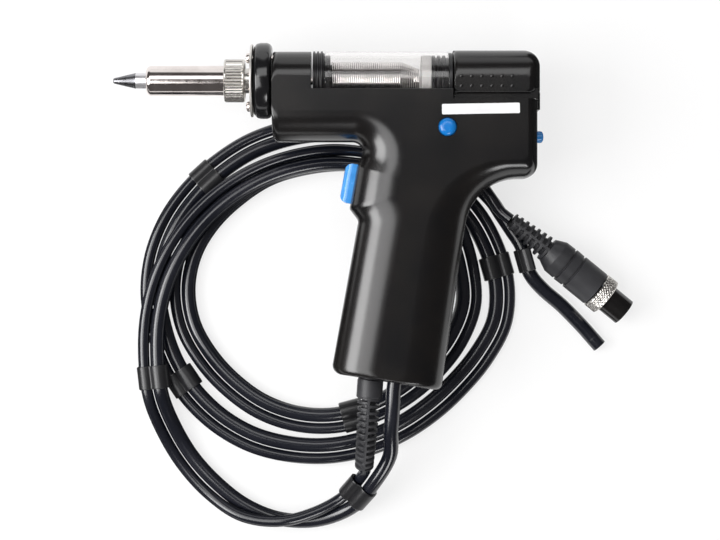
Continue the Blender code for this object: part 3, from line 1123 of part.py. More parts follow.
def clip(name, centre, ahead, right, cable_offset, hose_offset):
    """A double snap-on clip: a flat-oval block with two round channels open below."""
    up = right.cross(ahead).normalized()
    turn = Matrix((right, ahead, up)).transposed().to_4x4()
    width = abs(cable_offset.x - hose_offset.x) + CABLE_RADIUS + HOSE_RADIUS + 2 * CLIP_WALL
    middle = (cable_offset.x + hose_offset.x) / 2 + (HOSE_RADIUS - CABLE_RADIUS) / 2 * (
        1 if hose_offset.x > cable_offset.x else -1)
    place = Matrix.Translation(centre) @ turn
    bm = bmesh.new()
    low, high = 0.5 * MM, 2 * HOSE_RADIUS + CLIP_WALL
    bmesh.ops.create_cube(bm, size=1.0, matrix=place
                          @ Matrix.Translation((middle, 0, (low + high) / 2))
                          @ Matrix.Diagonal((width, CLIP_LENGTH, high - low, 1)))
    long_edges = [e for e in bm.edges
                  if abs((e.verts[0].co - e.verts[1].co).normalized().dot(ahead)) > 0.99]
    bmesh.ops.bevel(bm, geom=long_edges, offset=2.2 * MM, segments=2, profile=0.5, affect="EDGES",
                    material=-1)
    piece = put(name, mesh_of(name, bm), BLACK_RUBBER, TABLE_ROOT)
    for offset, radius in ((cable_offset, CABLE_RADIUS), (hose_offset, HOSE_RADIUS)):
        reach = Vector((0, CLIP_LENGTH, 0))
        ends = [place @ (offset - reach), place @ (offset + reach)]
        boolean(piece, as_cutter(rod("clip_channel", *ends, radius + 0.65 * MM, BLACK_RUBBER, TABLE_ROOT, 16)))
    bm = bmesh.new()
    bmesh.ops.create_cube(bm, size=1.0, matrix=place
                          @ Matrix.Translation(((cable_offset.x + hose_offset.x) / 2, 0, 0))
                          @ Matrix.Diagonal((abs(cable_offset.x - hose_offset.x), 2 * CLIP_LENGTH,
                                             2 * CABLE_RADIUS, 1)))
    boolean(piece, as_cutter(put("clip_mouth", mesh_of("clip_mouth", bm), BLACK_RUBBER, TABLE_ROOT)))
    return piece


def clips(pairs):
    """The clips on the shared route, and one that stands on edge on the hose's own end."""
    for number, i in enumerate(CLIP_PLACES, 1):
        lead = (pairs[i][0] + pairs[i + 1][0]) / 2
        hose = (pairs[i][1] + pairs[i + 1][1]) / 2
        ahead = (pairs[i + 1][1] - pairs[i][1]).normalized()
        right = Vector((ahead.y, -ahead.x, 0)).normalized()
        base = (lead + hose) / 2
        base.z = min(lead.z - CABLE_RADIUS, hose.z - HOSE_RADIUS)
        offsets = [Vector(((p - base).dot(right), 0, p.z - base.z)) for p in (lead, hose)]
        clip(f"cord_clip_{number}", base, ahead, right, *offsets)
    first, second = (Vector(p) * MM for p in HOSE_FAR[2:4])
    ahead = (second - first).normalized()
    down = Vector((0, 0, -1))
    foot = (first + second) / 2 - down.cross(ahead) * HOSE_RADIUS
    clip(f"cord_clip_{len(CLIP_PLACES) + 1}", foot, ahead, down,
         Vector((-CABLE_RADIUS - HOSE_RADIUS - CORD_GAP, 0, CABLE_RADIUS)), Vector((0, 0, HOSE_RADIUS)))


def plug_axis():
    """Direction of the connector, which slopes down until its ring touches the table."""
    whole = PLUG_BOOT_LENGTH + PLUG_BODY_LENGTH + COUPLING_LENGTH + INSERT_LENGTH
    slope = (COUPLING_RADIUS + 0.2 * MM - PLUG_START[2] * MM) / (whole * 0.8)
    return Vector((cos(PLUG_HEADING), sin(PLUG_HEADING), slope)).normalized()


def connector():
    """Ribbed boot, stepped body, knurled coupling ring and insert at the lead's far end."""
    start = Vector(PLUG_START) * MM
    along = plug_axis()
    pitch = PLUG_BOOT_LENGTH / PLUG_RIBS
    outer = [(0, 0)]
    for k in range(PLUG_RIBS):
        crest = PLUG_RIB_RADIUS + (PLUG_BOOT_RADIUS + 0.9 * MM - PLUG_RIB_RADIUS) * (k + 0.5) / PLUG_RIBS
        outer += [(k * pitch, crest), (k * pitch + pitch * 0.55, crest),
                  (k * pitch + pitch * 0.6, crest - MM), ((k + 1) * pitch - 0.01 * MM, crest - MM)]
    b = PLUG_BOOT_LENGTH
    outer += [(b, PLUG_BODY_RADIUS - 2.2 * MM), (b + 4 * MM, PLUG_BODY_RADIUS - 0.4 * MM)]
    for groove in PLUG_GROOVES:
        outer += [(b + groove, PLUG_BODY_RADIUS - 0.2 * MM), (b + groove, PLUG_BODY_RADIUS - 0.9 * MM),
                  (b + groove + 1.0 * MM, PLUG_BODY_RADIUS - 0.9 * MM), (b + groove + 1.0 * MM, PLUG_BODY_RADIUS)]
    end = b + PLUG_BODY_LENGTH
    outer += [(end, PLUG_BODY_RADIUS), (end, 0)]
    turned("connector_body", outer, [], BLACK_RUBBER, TABLE_ROOT, start, along, 16)
    ring_at = start + along * (end + GAP)
    ring = knurled("coupling_ring", COUPLING_RADIUS, COUPLING_LENGTH, COUPLING_TEETH, BRIGHT_METAL,
                   TABLE_ROOT, ring_at, along)
    core = INSERT_RADIUS - INSERT_STEP
    boolean(ring, as_cutter(rod("ring_bore", ring_at - along * MM, ring_at + along * (COUPLING_LENGTH + MM),
                                core + GAP, BRIGHT_METAL, TABLE_ROOT)))
    step = COUPLING_LENGTH + GAP
    nose = step + INSERT_LENGTH
    insert = turned("connector_insert",
                    [(0, 0), (0, core), (step, core), (step, INSERT_RADIUS), (nose, INSERT_RADIUS),
                     (nose, INSERT_RADIUS - 1.0 * MM), (nose - 1.5 * MM, INSERT_RADIUS - 1.0 * MM),
                     (nose - 1.5 * MM, 0)],
                    [], BLACK_CASE, TABLE_ROOT, ring_at, along, 20)
    sideways = Vector((-along.y, along.x, 0)).normalized()
    keyway_from = ring_at + along * (step + MM) + sideways * INSERT_RADIUS
    boolean(insert, as_cutter(rod("keyway", keyway_from, keyway_from + along * INSERT_LENGTH, KEYWAY_RADIUS,
                                  BLACK_CASE, TABLE_ROOT, 8)))


# ---------------------------------------------------------------- the whole pump

def build():
    cuts = common_cuts()
    housing_half("housing_left", 1, cuts)
    housing_half("housing_right", -1, cuts)
    housing_screws()
    heater_end()
    filter_tube()
    rear_seal()
    rear_cap()
    vacuum_path()
    wiring()
    trigger()
    release_button()
    side_button()
    strain_relief()
    clips(cords())
    connector()


build()
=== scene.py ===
# %% [markdown]
# # A desoldering pump lying on its own cords
# The real tool is a pistol-shaped vacuum pump for melted solder. A hot nozzle sticks out of a black
# plastic gun, the solder flies through it into a glass tube on top, and a lead and a hose leave
# the grip together, held side by side by small clips. Every cell below makes one piece or one finish,
# in millimetres on the gun's own axes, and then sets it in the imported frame, which is in metres.

import json
from math import acos, atan2, ceil, cos, hypot, pi, radians, sin, tan

import bmesh
import bpy
from mathutils import Matrix, Vector

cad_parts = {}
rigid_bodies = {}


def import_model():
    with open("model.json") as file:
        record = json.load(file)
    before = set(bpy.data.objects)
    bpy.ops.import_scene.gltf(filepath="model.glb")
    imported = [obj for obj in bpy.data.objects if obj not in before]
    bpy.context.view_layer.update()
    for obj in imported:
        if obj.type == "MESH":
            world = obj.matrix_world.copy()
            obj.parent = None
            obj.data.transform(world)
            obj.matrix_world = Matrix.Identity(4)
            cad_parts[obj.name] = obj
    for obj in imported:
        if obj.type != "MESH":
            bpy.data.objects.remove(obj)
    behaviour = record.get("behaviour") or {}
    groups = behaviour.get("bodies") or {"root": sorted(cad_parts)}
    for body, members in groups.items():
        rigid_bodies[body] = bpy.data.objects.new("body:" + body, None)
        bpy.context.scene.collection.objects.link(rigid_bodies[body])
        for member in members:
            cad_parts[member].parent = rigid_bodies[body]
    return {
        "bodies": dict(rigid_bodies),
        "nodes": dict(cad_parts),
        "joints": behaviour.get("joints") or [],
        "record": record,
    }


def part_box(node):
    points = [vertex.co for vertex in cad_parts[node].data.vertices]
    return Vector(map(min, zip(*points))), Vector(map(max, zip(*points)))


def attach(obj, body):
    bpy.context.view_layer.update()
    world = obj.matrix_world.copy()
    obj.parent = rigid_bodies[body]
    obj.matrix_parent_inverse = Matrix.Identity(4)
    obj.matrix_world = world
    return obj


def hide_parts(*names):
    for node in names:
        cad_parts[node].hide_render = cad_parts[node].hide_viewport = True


MM = 0.001

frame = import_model()
scene = bpy.context.scene
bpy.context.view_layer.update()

# %% [markdown]
# ## Two working places
# The gun's pieces share the barrel's axis, so the axis is where the numbers start: x runs back from
# the housing's front face, y up from the grip to the barrel, z out of the side that faces up.
# The cords lie on the bench, so theirs start at the bench. Both are plain matrices, which leaves
# every finished object at the origin with its place in its mesh.

# %% Gun place and bench place
GAP = 0.3
HALF_THICKNESS = 16.5
BENCH_TO_GUN = 13.9

sleeve_low, sleeve_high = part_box("nozzle_sleeve")
housing_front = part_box("housing_left")[0].x
axis = (sleeve_low + sleeve_high) / 2
GUN = Matrix.Translation((housing_front, axis.y, axis.z)) @ Matrix.Scale(MM, 4)
bench = axis.z - (HALF_THICKNESS + BENCH_TO_GUN) * MM
BENCH = Matrix.Translation((0, 0, bench)) @ Matrix.Scale(MM, 4)
print("barrel axis starts at", [round(v, 5) for v in GUN.translation], "bench at", round(bench, 5))

# %% [markdown]
# ## Camera
# The tool is seen from straight above with a long lens, so that its outline stays true.

# %% Camera
lens = bpy.data.cameras.new("camera")
lens.lens = 100
lens.sensor_width = 36
lens.clip_start = 0.01
camera = bpy.data.objects.new("camera", lens)
camera.location = (0.01365, -0.0232, 0.860)
scene.collection.objects.link(camera)
scene.camera = camera
scene.view_settings.view_transform = "Standard"
print("camera", round(camera.location.z - axis.z, 3), "m above the barrel's axis")

# %% [markdown]
# ## Node helpers
# A shader is a tree of nodes. Most nodes here need the same three things: a setting or two, plain
# numbers on some inputs, and links to others. So one helper makes a node with all of them, and a few
# small ones stand on it.


# %% Node helpers
def emptied(owner):
    """The node tree of a material or a world, with nothing in it."""
    owner.use_nodes = True
    owner.node_tree.nodes.clear()
    return owner.node_tree


def add(tree, kind, inputs=None, **settings):
    """A shader node; each input gets a plain value or a link from another node's socket."""
    node = tree.nodes.new("ShaderNode" + kind)
    for name, value in settings.items():
        setattr(node, name, value)
    for name, value in (inputs or {}).items():
        if isinstance(value, bpy.types.NodeSocket):
            tree.links.new(value, node.inputs[name])
        else:
            node.inputs[name].default_value = value
    return node


def combined(tree, operation, *values):
    """Numbers or sockets joined by one sum."""
    return add(tree, "Math", dict(enumerate(values)), operation=operation).outputs[0]


def ranged(tree, source, start, end, low=0.0, high=1.0, curve="LINEAR"):
    """Maps one range of a number to another."""
    return add(tree, "MapRange", {"Value": source, "From Min": start, "From Max": end, "To Min": low,
                                  "To Max": high}, interpolation_type=curve).outputs[0]


def shades(tree, source, first, last, start=0.35, end=0.65):
    """Maps a number to a range between two colours."""
    ramp = add(tree, "ValToRGB", {"Fac": source})
    for stop, position, color in zip(ramp.color_ramp.elements, (start, end), (first, last)):
        stop.position = position
        stop.color = (*color, 1.0)
    return ramp.outputs["Color"]


def seen_directly(tree):
    """1 for rays from the camera, from gloss and through glass."""
    path = add(tree, "LightPath").outputs
    first = combined(tree, "MAXIMUM", path["Is Camera Ray"], path["Is Glossy Ray"])
    return combined(tree, "MAXIMUM", first, path["Is Transmission Ray"])


# %% [markdown]
# ## Surroundings
# Satin black plastic is nearly invisible by its own colour: what shows its shape is what it
# mirrors. The camera sees a white room, which gives only a little light. Gloss sees the same room
# with a dim ceiling, and with dim walls at the left and the right, so that the flat side and the
# edges that face those ways stay black, while the steel keeps the white horizon before and behind it.

# %% Room
WHITE = (1.0, 1.0, 1.0)
CEILING = (0.085, 0.08, 0.08)
ROOM_LIGHT = 0.26

sky = bpy.data.worlds.new("studio")
scene.world = sky
tree = emptied(sky)
way = add(tree, "TexCoord").outputs["Generated"]
height, across = (add(tree, "VectorMath", {0: way, 1: direction}, operation="DOT_PRODUCT").outputs["Value"]
                  for direction in ((0.0, -0.45, 1.0), (1.0, 0.0, 0.0)))
raised = combined(tree, "MULTIPLY_ADD", combined(tree, "ABSOLUTE", across), 0.7, height)
mirrored = shades(tree, raised, WHITE, CEILING, 0.03, 0.17)
room = add(tree, "Mix", {"Factor": add(tree, "LightPath").outputs["Is Glossy Ray"], "A": (*WHITE, 1.0),
                         "B": mirrored}, data_type="RGBA").outputs["Result"]
light = add(tree, "Background", {"Color": (*WHITE, 1.0), "Strength": ROOM_LIGHT})
paper = add(tree, "Background", {"Color": room})
pick = add(tree, "MixShader", {0: seen_directly(tree), 1: light.outputs[0], 2: paper.outputs[0]})
add(tree, "OutputWorld", {"Surface": pick.outputs[0]})

# %% [markdown]
# The bench is nearly white: matte, so that it keeps the shadows, with a white glow mixed in for rays
# that see it directly. For gloss it carries painted shade in two places, to the left of the grip and
# behind the body, so that the grip's left edge and the body's rear edge mirror dark.

# %% Bench
GLOW_SHARE, PAINTED_SHADE_SHARE = 0.74, 0.95


def zone(tree, *borders):
    """1 inside every border; each is a coordinate, where it gives 0 and where it gives 1."""
    inside = 1.0
    for source, outer, inner in borders:
        inside = combined(tree, "MULTIPLY", inside, ranged(tree, source, outer, inner, curve="SMOOTHSTEP"))
    return inside


bm = bmesh.new()
bmesh.ops.create_circle(bm, cap_ends=True, segments=64, radius=1.6)
bmesh.ops.translate(bm, verts=bm.verts, vec=(0, 0, bench - 0.02 * MM))
bench_mesh = bpy.data.meshes.new("bench")
bm.to_mesh(bench_mesh)
bm.free()
bench_top = bpy.data.objects.new("bench", bench_mesh)
scene.collection.objects.link(bench_top)

bench_paint = bpy.data.materials.new("bench_paint")
bench_mesh.materials.append(bench_paint)
tree = emptied(bench_paint)
split = add(tree, "SeparateXYZ", {0: add(tree, "TexCoord").outputs["Object"]}).outputs
east, north = split["X"], split["Y"]
# Painted shade: the bench goes dark for glossy rays only, in these two zones.
beside_grip = zone(tree, (east, -0.012, -0.024), (north, 0.026, 0.010), (north, -0.17, -0.15))
behind_body = zone(tree, (east, 0.095, 0.105), (north, -0.004, 0.010))
painted_shade = combined(tree, "MULTIPLY", combined(tree, "MAXIMUM", beside_grip, behind_body),
               add(tree, "LightPath").outputs["Is Glossy Ray"])
share = combined(tree, "MAXIMUM", combined(tree, "MULTIPLY", painted_shade, PAINTED_SHADE_SHARE),
                 combined(tree, "MULTIPLY", seen_directly(tree), GLOW_SHARE))
matte = add(tree, "BsdfPrincipled", {"Base Color": (0.96, 0.955, 0.955, 1.0), "Roughness": 0.9,
                                     "Specular IOR Level": 0.1})
glow = add(tree, "Emission", {"Strength": combined(tree, "SUBTRACT", 1.0, painted_shade)})
blend = add(tree, "MixShader", {0: share, 1: matte.outputs[0], 2: glow.outputs[0]})
add(tree, "OutputMaterial", {"Surface": blend.outputs[0]})
print("nodes in the room", len(sky.node_tree.nodes), "and in the bench", len(tree.nodes))

# %% [markdown]
# Four soft lamps do the rest. The one at the left runs as a pale band down the grip, and a fainter
# one beside it softens the band's right side. One above and behind the barrel lies along the
# steel, and a small one in front lifts the rims that face it.

# %% Lamps
LAMPS = {  # place, width and height in metres, power in watts
    "left_softbox": ((-0.85, -0.08, 0.726), 0.8, 0.53, 11.3),
    "left_fade": ((-0.43, -0.08, 1.045), 0.7, 0.48, 3.4),
    "top_softbox": ((-0.05, 0.50, 1.10), 1.1, 0.5, 3.5),
    "front_softbox": ((0.29, -1.0, 0.62), 0.36, 0.4, 2.9),
}
LIT_POINT = Vector((0.0, -0.02, 0.0))

for name, (place, width, height, power) in LAMPS.items():
    lamp = bpy.data.lights.new(name, "AREA")
    lamp.shape = "RECTANGLE"
    lamp.size, lamp.size_y, lamp.energy = width, height, power
    box = bpy.data.objects.new(name, lamp)
    box.location = place
    box.rotation_euler = (LIT_POINT - Vector(place)).to_track_quat("-Z", "Y").to_euler()
    scene.collection.objects.link(box)
print("lamps", len(bpy.data.lights))

# %% [markdown]
# ## Finishes
# Each finish is one Principled shader with three noises on the object's own coordinates, which are
# metres here: one for its colour, one for its polish and one for a fine relief. They vary only
# what varies on the real thing: grain, polish, rubbed places. The noise scales are per metre, so
# 2000 is a half-millimetre grain. A noise is written as its scale, its detail and its stretch.


# %% One helper for every finish
def noise(tree, scale, detail=2.0, stretch=(1.0, 1.0, 1.0)):
    """Noise on the object's own coordinates, stretched along its axes."""
    place = add(tree, "TexCoord").outputs["Object"]
    fit = add(tree, "Mapping", {"Vector": place, "Scale": stretch}).outputs[0]
    return add(tree, "TexNoise", {"Vector": fit, "Scale": scale, "Detail": detail}).outputs["Fac"]


def finish(name, dark, pale, polish, tone, fine, depth, strength, worn=None, span=(0.3, 0.7), **plain):
    """A material: tone varies its colour, worn (or tone) its polish, fine its relief; depth in metres."""
    made = bpy.data.materials.new(name)
    tree = emptied(made)
    numbers = {socket.replace("_", " "): value for socket, value in plain.items()}
    shader = add(tree, "BsdfPrincipled", {"Base Color": (*pale, 1.0), "Roughness": polish[0], **numbers})
    add(tree, "OutputMaterial", {"Surface": shader.outputs[0]})
    worn = worn or tone
    at = {spec: noise(tree, *spec) for spec in dict.fromkeys((tone, worn, fine)) if spec}
    tree.links.new(ranged(tree, at[worn], *span, *polish), shader.inputs["Roughness"])
    if tone:
        tree.links.new(shades(tree, at[tone], dark, pale), shader.inputs["Base Color"])
    if fine:
        bump = add(tree, "Bump", {"Height": at[fine], "Distance": depth, "Strength": strength})
        tree.links.new(bump.outputs[0], shader.inputs["Normal"])
    return made


# %% Black plastic of the gun
def moulded(name, dark, pale, smooth, rough, depth, shine=0.5):
    """Injection-moulded black plastic: fine spark-eroded grain, polish that wanders a little."""
    return finish(name, dark, pale, (smooth, rough), (55.0, 3.0), (2600.0,), depth, 0.6,
                  span=(0.1, 0.9), Specular_IOR_Level=shine)


BLACK_CASE = moulded("black_case", (0.003, 0.003, 0.0035), (0.006, 0.005, 0.0045), 0.20, 0.25, 8e-6, 0.72)
BLACK_GLOSS = moulded("black_gloss", (0.004, 0.004, 0.005), (0.007, 0.007, 0.008), 0.12, 0.18, 3e-6, 0.8)
BLACK_RUBBER = moulded("black_rubber", (0.010, 0.010, 0.011), (0.016, 0.016, 0.018), 0.26, 0.36, 2e-5, 0.6)
SOFT_BLACK = moulded("soft_black", (0.023, 0.023, 0.026), (0.040, 0.040, 0.044), 0.40, 0.53, 3e-5)

# %% [markdown]
# The cords' skin is soft PVC: shinier than the gun, faintly blue, with a fine grain and a little
# dust that dulls it in patches.

# %% Cord skin
CORD_SKIN = finish("cord_skin", (0.005, 0.006, 0.010), (0.011, 0.012, 0.018), (0.14, 0.24), (30.0, 4.0),
                   (1400.0,), 6e-6, 0.4, Specular_IOR_Level=0.75)


# %% Blue buttons and trigger
def blue(name, deep, pale, polish):
    """Glossy blue plastic, a little worn where fingers rub it."""
    return finish(name, deep, pale, (polish, polish + 0.12), (240.0, 3.0), (1800.0,), 8e-6, 0.4,
                  Coat_Weight=0.25, Coat_Roughness=0.12)


TRIGGER_BLUE = blue("trigger_blue", (0.040, 0.25, 0.66), (0.055, 0.31, 0.76), 0.16)
BUTTON_BLUE = blue("button_blue", (0.003, 0.155, 0.50), (0.005, 0.19, 0.58), 0.18)

# %% [markdown]
# Metals differ in how they were worked. The sleeve is a polished, plated tube with rings
# from the lathe, the nozzle's cone is a darker steel than its cylinder, and the nut and the coupling ring are
# bright nickel.
# The marks are a noise that is stretched along the way the tool went.


# %% Metals
def metal(name, dark, pale, smooth, rough, depth, stretch=(1.0, 1.0, 1.0), scale=900.0):
    """A worked metal, with stains in its colour and its marks in polish and relief."""
    marks = (scale, 3.0, stretch)
    return finish(name, dark, pale, (smooth, rough), (120.0, 3.0), marks, depth, 0.5, worn=marks,
                  Metallic=1.0)


TURNED = (1.0, 0.06, 0.06)
STEEL = metal("steel", (0.73, 0.67, 0.645), (0.83, 0.77, 0.745), 0.09, 0.15, 4e-7, (1.0, 0.05, 0.05))
NOZZLE_STEEL = metal("dark_steel", (0.20, 0.20, 0.21), (0.30, 0.30, 0.32), 0.24, 0.32, 6e-7, TURNED)
NOZZLE_BRIGHT = metal("nozzle_bright", (0.76, 0.75, 0.77), (0.86, 0.85, 0.87), 0.34, 0.42, 6e-7, TURNED)
BRIGHT_METAL = metal("bright_metal", (0.62, 0.60, 0.57), (0.72, 0.695, 0.66), 0.16, 0.26, 1e-6)
ZINC = metal("zinc", (0.66, 0.64, 0.61), (0.78, 0.76, 0.73), 0.40, 0.52, 3e-6, scale=700.0)
WIRE_STEEL = metal("wire_steel", (0.74, 0.72, 0.71), (0.86, 0.84, 0.83), 0.10, 0.18, 1e-6, (0.1, 1.0, 1.0))

# %% [markdown]
# The filter tube is thick clear glass. Transmission carries it; the wall has its real thickness,
# so the edges darken by themselves. Inside it sits a wad of white ceramic paper, which is matte and
# fibrous.

# %% Glass, paper and the small inner materials
GLASS = finish("clear_glass", None, (0.995, 0.984, 0.98), (0.01, 0.05), None, None, 0.0, 0.0,
               worn=(90.0,), Transmission_Weight=1.0, IOR=1.47)
FIBRES = (1500.0, 4.0, (1.0, 0.3, 0.3))
FILTER_WHITE = finish("white_fibre", (0.94, 0.925, 0.905), (0.99, 0.98, 0.965), (0.95, 0.95), FIBRES,
                      FIBRES, 0.0001, 0.7)


def plain(name, dark, pale, polish, scale=400.0):
    """A matte material with a mottled colour and a fine grain."""
    return finish(name, dark, pale, (polish, polish + 0.1), (scale, 3.0), (1600.0,), 1e-5, 0.5)


CERAMIC = plain("ceramic", (0.66, 0.62, 0.56), (0.78, 0.75, 0.70), 0.55)
SILICONE = plain("silicone", (0.60, 0.60, 0.57), (0.72, 0.72, 0.69), 0.45)
BOARD_GREEN = plain("circuit_board", (0.03, 0.15, 0.07), (0.045, 0.20, 0.09), 0.4)
LABEL_WHITE = plain("label_white", (0.80, 0.80, 0.80), (0.86, 0.86, 0.86), 0.35, 90.0)
# Painted shade: the near-black of the hose's bore, where the open hose runs on into the dark.
BORE_PAINTED_SHADE = plain("bore_painted_shade", (0.004, 0.004, 0.004), (0.006, 0.006, 0.007), 0.8)
print("finishes", len(bpy.data.materials))

# %% [markdown]
# ## Working helpers
# Nearly everything on the gun was turned, moulded or wound, so four tools are enough: a profile
# spun about an axis, a block with eased edges, rings bridged one to the next, and exact cuts.
# A finished piece gets smooth faces with sharp edges kept, and weighted normals, so that a long
# flat face beside a small rounding stays flat.


# %% Helpers for edges and places
def rounded_off(bm, edges, amount, segments=2, clamp=True):
    """Rounds some edges of a bmesh."""
    bmesh.ops.bevel(bm, geom=edges, offset=amount, segments=segments, profile=0.5, affect="EDGES",
                    clamp_overlap=clamp, material=-1)


def turning(bm, sharper):
    """The edges that turn by more than an angle, in degrees."""
    return [e for e in bm.edges if len(e.link_faces) == 2 and abs(e.calc_face_angle(0.0)) > radians(sharper)]


def upright(place, heading):
    """The matrix that takes +Z to a heading at a place."""
    turn = Vector((0, 0, 1)).rotation_difference(Vector(heading)).to_matrix().to_4x4()
    return Matrix.Translation(place) @ turn


def framed(place, *axes):
    """The matrix that takes +X, +Y and +Z to three given axes at a place."""
    return Matrix.Translation(place) @ Matrix(axes).transposed().to_4x4()


def quarter(steps):
    """Angles from 0 to a right angle, in even steps."""
    return [pi / 2 * k / steps for k in range(steps + 1)]


# %% Helpers for shapes
def block(corner, opposite, eased=0.0, segments=3, matrix=None):
    """A block between two opposite corners, in millimetres."""
    bm = bmesh.new()
    low, high = (Vector([pick(pair) for pair in zip(corner, opposite)]) for pick in (min, max))
    middle = Matrix.Translation((high + low) / 2)
    bmesh.ops.create_cube(bm, size=1.0, matrix=middle @ Matrix.Diagonal((*(high - low), 1.0)))
    if eased:
        rounded_off(bm, turning(bm, 30.0), eased, segments)
    if matrix:
        bmesh.ops.transform(bm, matrix=matrix, verts=bm.verts)
    return bm


def spun(profile, hollow=False, steps=72, place=(0, 0, 0), heading=(1, 0, 0), eased=0.0, segments=2):
    """A turned piece from (distance, radius) points; a hollow one's profile closes on itself."""
    bm = bmesh.new()
    line = [bm.verts.new((radius, 0, along)) for along, radius in profile]
    pairs = list(zip(line, line[1:])) + ([(line[-1], line[0])] if hollow else [])
    edges = [bm.edges.new(pair) for pair in pairs]
    bmesh.ops.spin(bm, geom=line + edges, cent=(0, 0, 0), axis=(0, 0, 1), angle=2 * pi, steps=steps,
                   use_merge=True)
    bmesh.ops.remove_doubles(bm, verts=bm.verts, dist=0.0005)
    bmesh.ops.recalc_face_normals(bm, faces=bm.faces)
    if eased:
        rounded_off(bm, turning(bm, 30.0), eased, segments)
    bmesh.ops.transform(bm, matrix=upright(place, heading), verts=bm.verts)
    return bm


def pin(start, end, radius, sides=32):
    """A plain cylinder between two points, for cutting with."""
    start, end = Vector(start), Vector(end)
    bm = bmesh.new()
    bmesh.ops.create_cone(bm, cap_ends=True, segments=sides, radius1=radius, radius2=radius,
                          depth=(end - start).length, matrix=upright((start + end) / 2, end - start))
    return bm


def bridged(bm, loops):
    """Joins loops of edges one to the next, and closes both ends."""
    for lower, upper in zip(loops, loops[1:]):
        bmesh.ops.bridge_loops(bm, edges=lower + upper)
    for loop in (loops[0], loops[-1]):
        bmesh.ops.edgeloop_fill(bm, edges=loop)
    return bm


def lofted(outlines):
    """A closed solid through outlines that have equally many points."""
    bm = bmesh.new()
    loops = []
    for outline in outlines:
        line = [bm.verts.new(point) for point in outline]
        loops.append([bm.edges.new(pair) for pair in zip(line, line[1:] + line[:1])])
    return bridged(bm, loops)


def skin(rings, sides, radius_at):
    """A closed tube through placed rings; radius_at(ring number, angle) gives its surface."""
    bm = bmesh.new()
    loops = []
    for k, place in enumerate(rings):
        loop = bmesh.ops.create_circle(bm, cap_ends=False, segments=sides, radius=1.0)["verts"]
        for corner in loop:
            angle = atan2(corner.co.y, corner.co.x)
            corner.co = place @ (corner.co * radius_at(k, angle))
        loops.append([e for e in bm.edges if e.verts[0] in loop and e.verts[1] in loop])
    return bridged(bm, loops)


# %% Helpers for finished pieces
def smoothed(mesh, angle):
    """Smooth faces, with the edges sharper than an angle kept."""
    mesh.shade_smooth()
    mesh.set_sharp_from_angle(angle=radians(angle))


def finished(name, bm, paint, place=None, angle=35.0):
    """Sets a bmesh drawn in millimetres in its place as an object."""
    bmesh.ops.remove_doubles(bm, verts=bm.verts, dist=0.0005)
    bmesh.ops.recalc_face_normals(bm, faces=bm.faces)
    bmesh.ops.transform(bm, matrix=place or GUN, verts=bm.verts)
    mesh = bpy.data.meshes.new(name)
    bm.to_mesh(mesh)
    bm.free()
    smoothed(mesh, angle)
    mesh.materials.append(paint)
    piece = bpy.data.objects.new(name, mesh)
    scene.collection.objects.link(piece)
    return piece


def shaped(piece, tools, operation="DIFFERENCE", angle=35.0, place=None):
    """Cuts a piece with tools, objects or bmeshes, or joins them to it, and keeps only the result."""
    tools = [finished("tool", tool, BLACK_CASE, place) if isinstance(tool, bmesh.types.BMesh) else tool
             for tool in tools]
    for number, tool in enumerate(tools):
        step = piece.modifiers.new(f"step_{number}", "BOOLEAN")
        step.operation = operation
        step.solver = "EXACT"
        step.object = tool
    bpy.context.view_layer.update()
    seen = piece.evaluated_get(bpy.context.evaluated_depsgraph_get())
    mesh = bpy.data.meshes.new_from_object(seen)
    piece.modifiers.clear()
    bm = bmesh.new()
    bm.from_mesh(mesh)
    bmesh.ops.remove_doubles(bm, verts=bm.verts, dist=0.002 * MM)
    bmesh.ops.dissolve_degenerate(bm, edges=bm.edges, dist=0.002 * MM)
    bm.to_mesh(mesh)
    bm.free()
    smoothed(mesh, angle)
    piece.data = mesh
    for tool in tools:
        bpy.data.objects.remove(tool)
    return piece


def mount(piece, body, *nodes, slot=None):
    """Lets a finished piece ride on its body in place of its CAD nodes."""
    step = piece.modifiers.new("shading", "WEIGHTED_NORMAL")
    step.keep_sharp = True
    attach(piece, body)
    if nodes:
        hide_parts(*nodes)
    print(piece.name, "has", len(piece.data.polygons), "faces and rides on", body)
    return piece


# %% [markdown]
# ## The lead and the hose
# They come first, because everything else lies on them. They share one route: a place on the bench,
# a lift above it, and a roll that says which of the two lies on top. Rolled through half a turn by
# the grip, they go from side by side to stacked to side by side again, as the real pair does
# where it leaves the gun. Both are curves with a round section.

# %% Route of the pair
CABLE_RADIUS = 2.5
HOSE_RADIUS = 3.2
CORD_GAP = 0.35
PAIR_STEP = 16.7

# (x, y, height of the lowest point, turn about the route in degrees), in mm on the bench
LEAVING = (
    (18.0, -114.0, 15.3, 0), (13.2, -121.0, 10.2, 0), (9.4, -124.8, 7.4, 4), (4.0, -128.4, 4.7, 20),
    (-5.0, -131.9, 2.3, 45), (-16.0, -133.8, 0.6, 75), (-29.5, -132.5, 0, 112), (-42.5, -127.0, 0, 150),
    (-53.5, -118.0, 0, 176), (-65.5, -104.0, 0.2, 180), (-72.5, -90.0, 3.0, 180),
    (-76.5, -78.0, 6.9, 180), (-78.0, -67.0, 7.4, 180), (-78.2, -52.0, 7.0, 180),
)
UPPER_LAYER = (    # (x, y) where the pair lies on the layer below
    (-76.5, -37.0), (-72.0, -24.0), (-66.0, -12.0), (-58.5, -2.0), (-49.5, 7.0), (-38.5, 14.5),
    (-27.0, 20.5), (-14.0, 24.5), (0.0, 26.5), (14.0, 25.5), (27.0, 22.0), (38.0, 15.5), (47.4, 6.0),
)
DESCENT = ((54.4, -4.5, 5.4, 180), (59.0, -16.0, 2.1, 180))
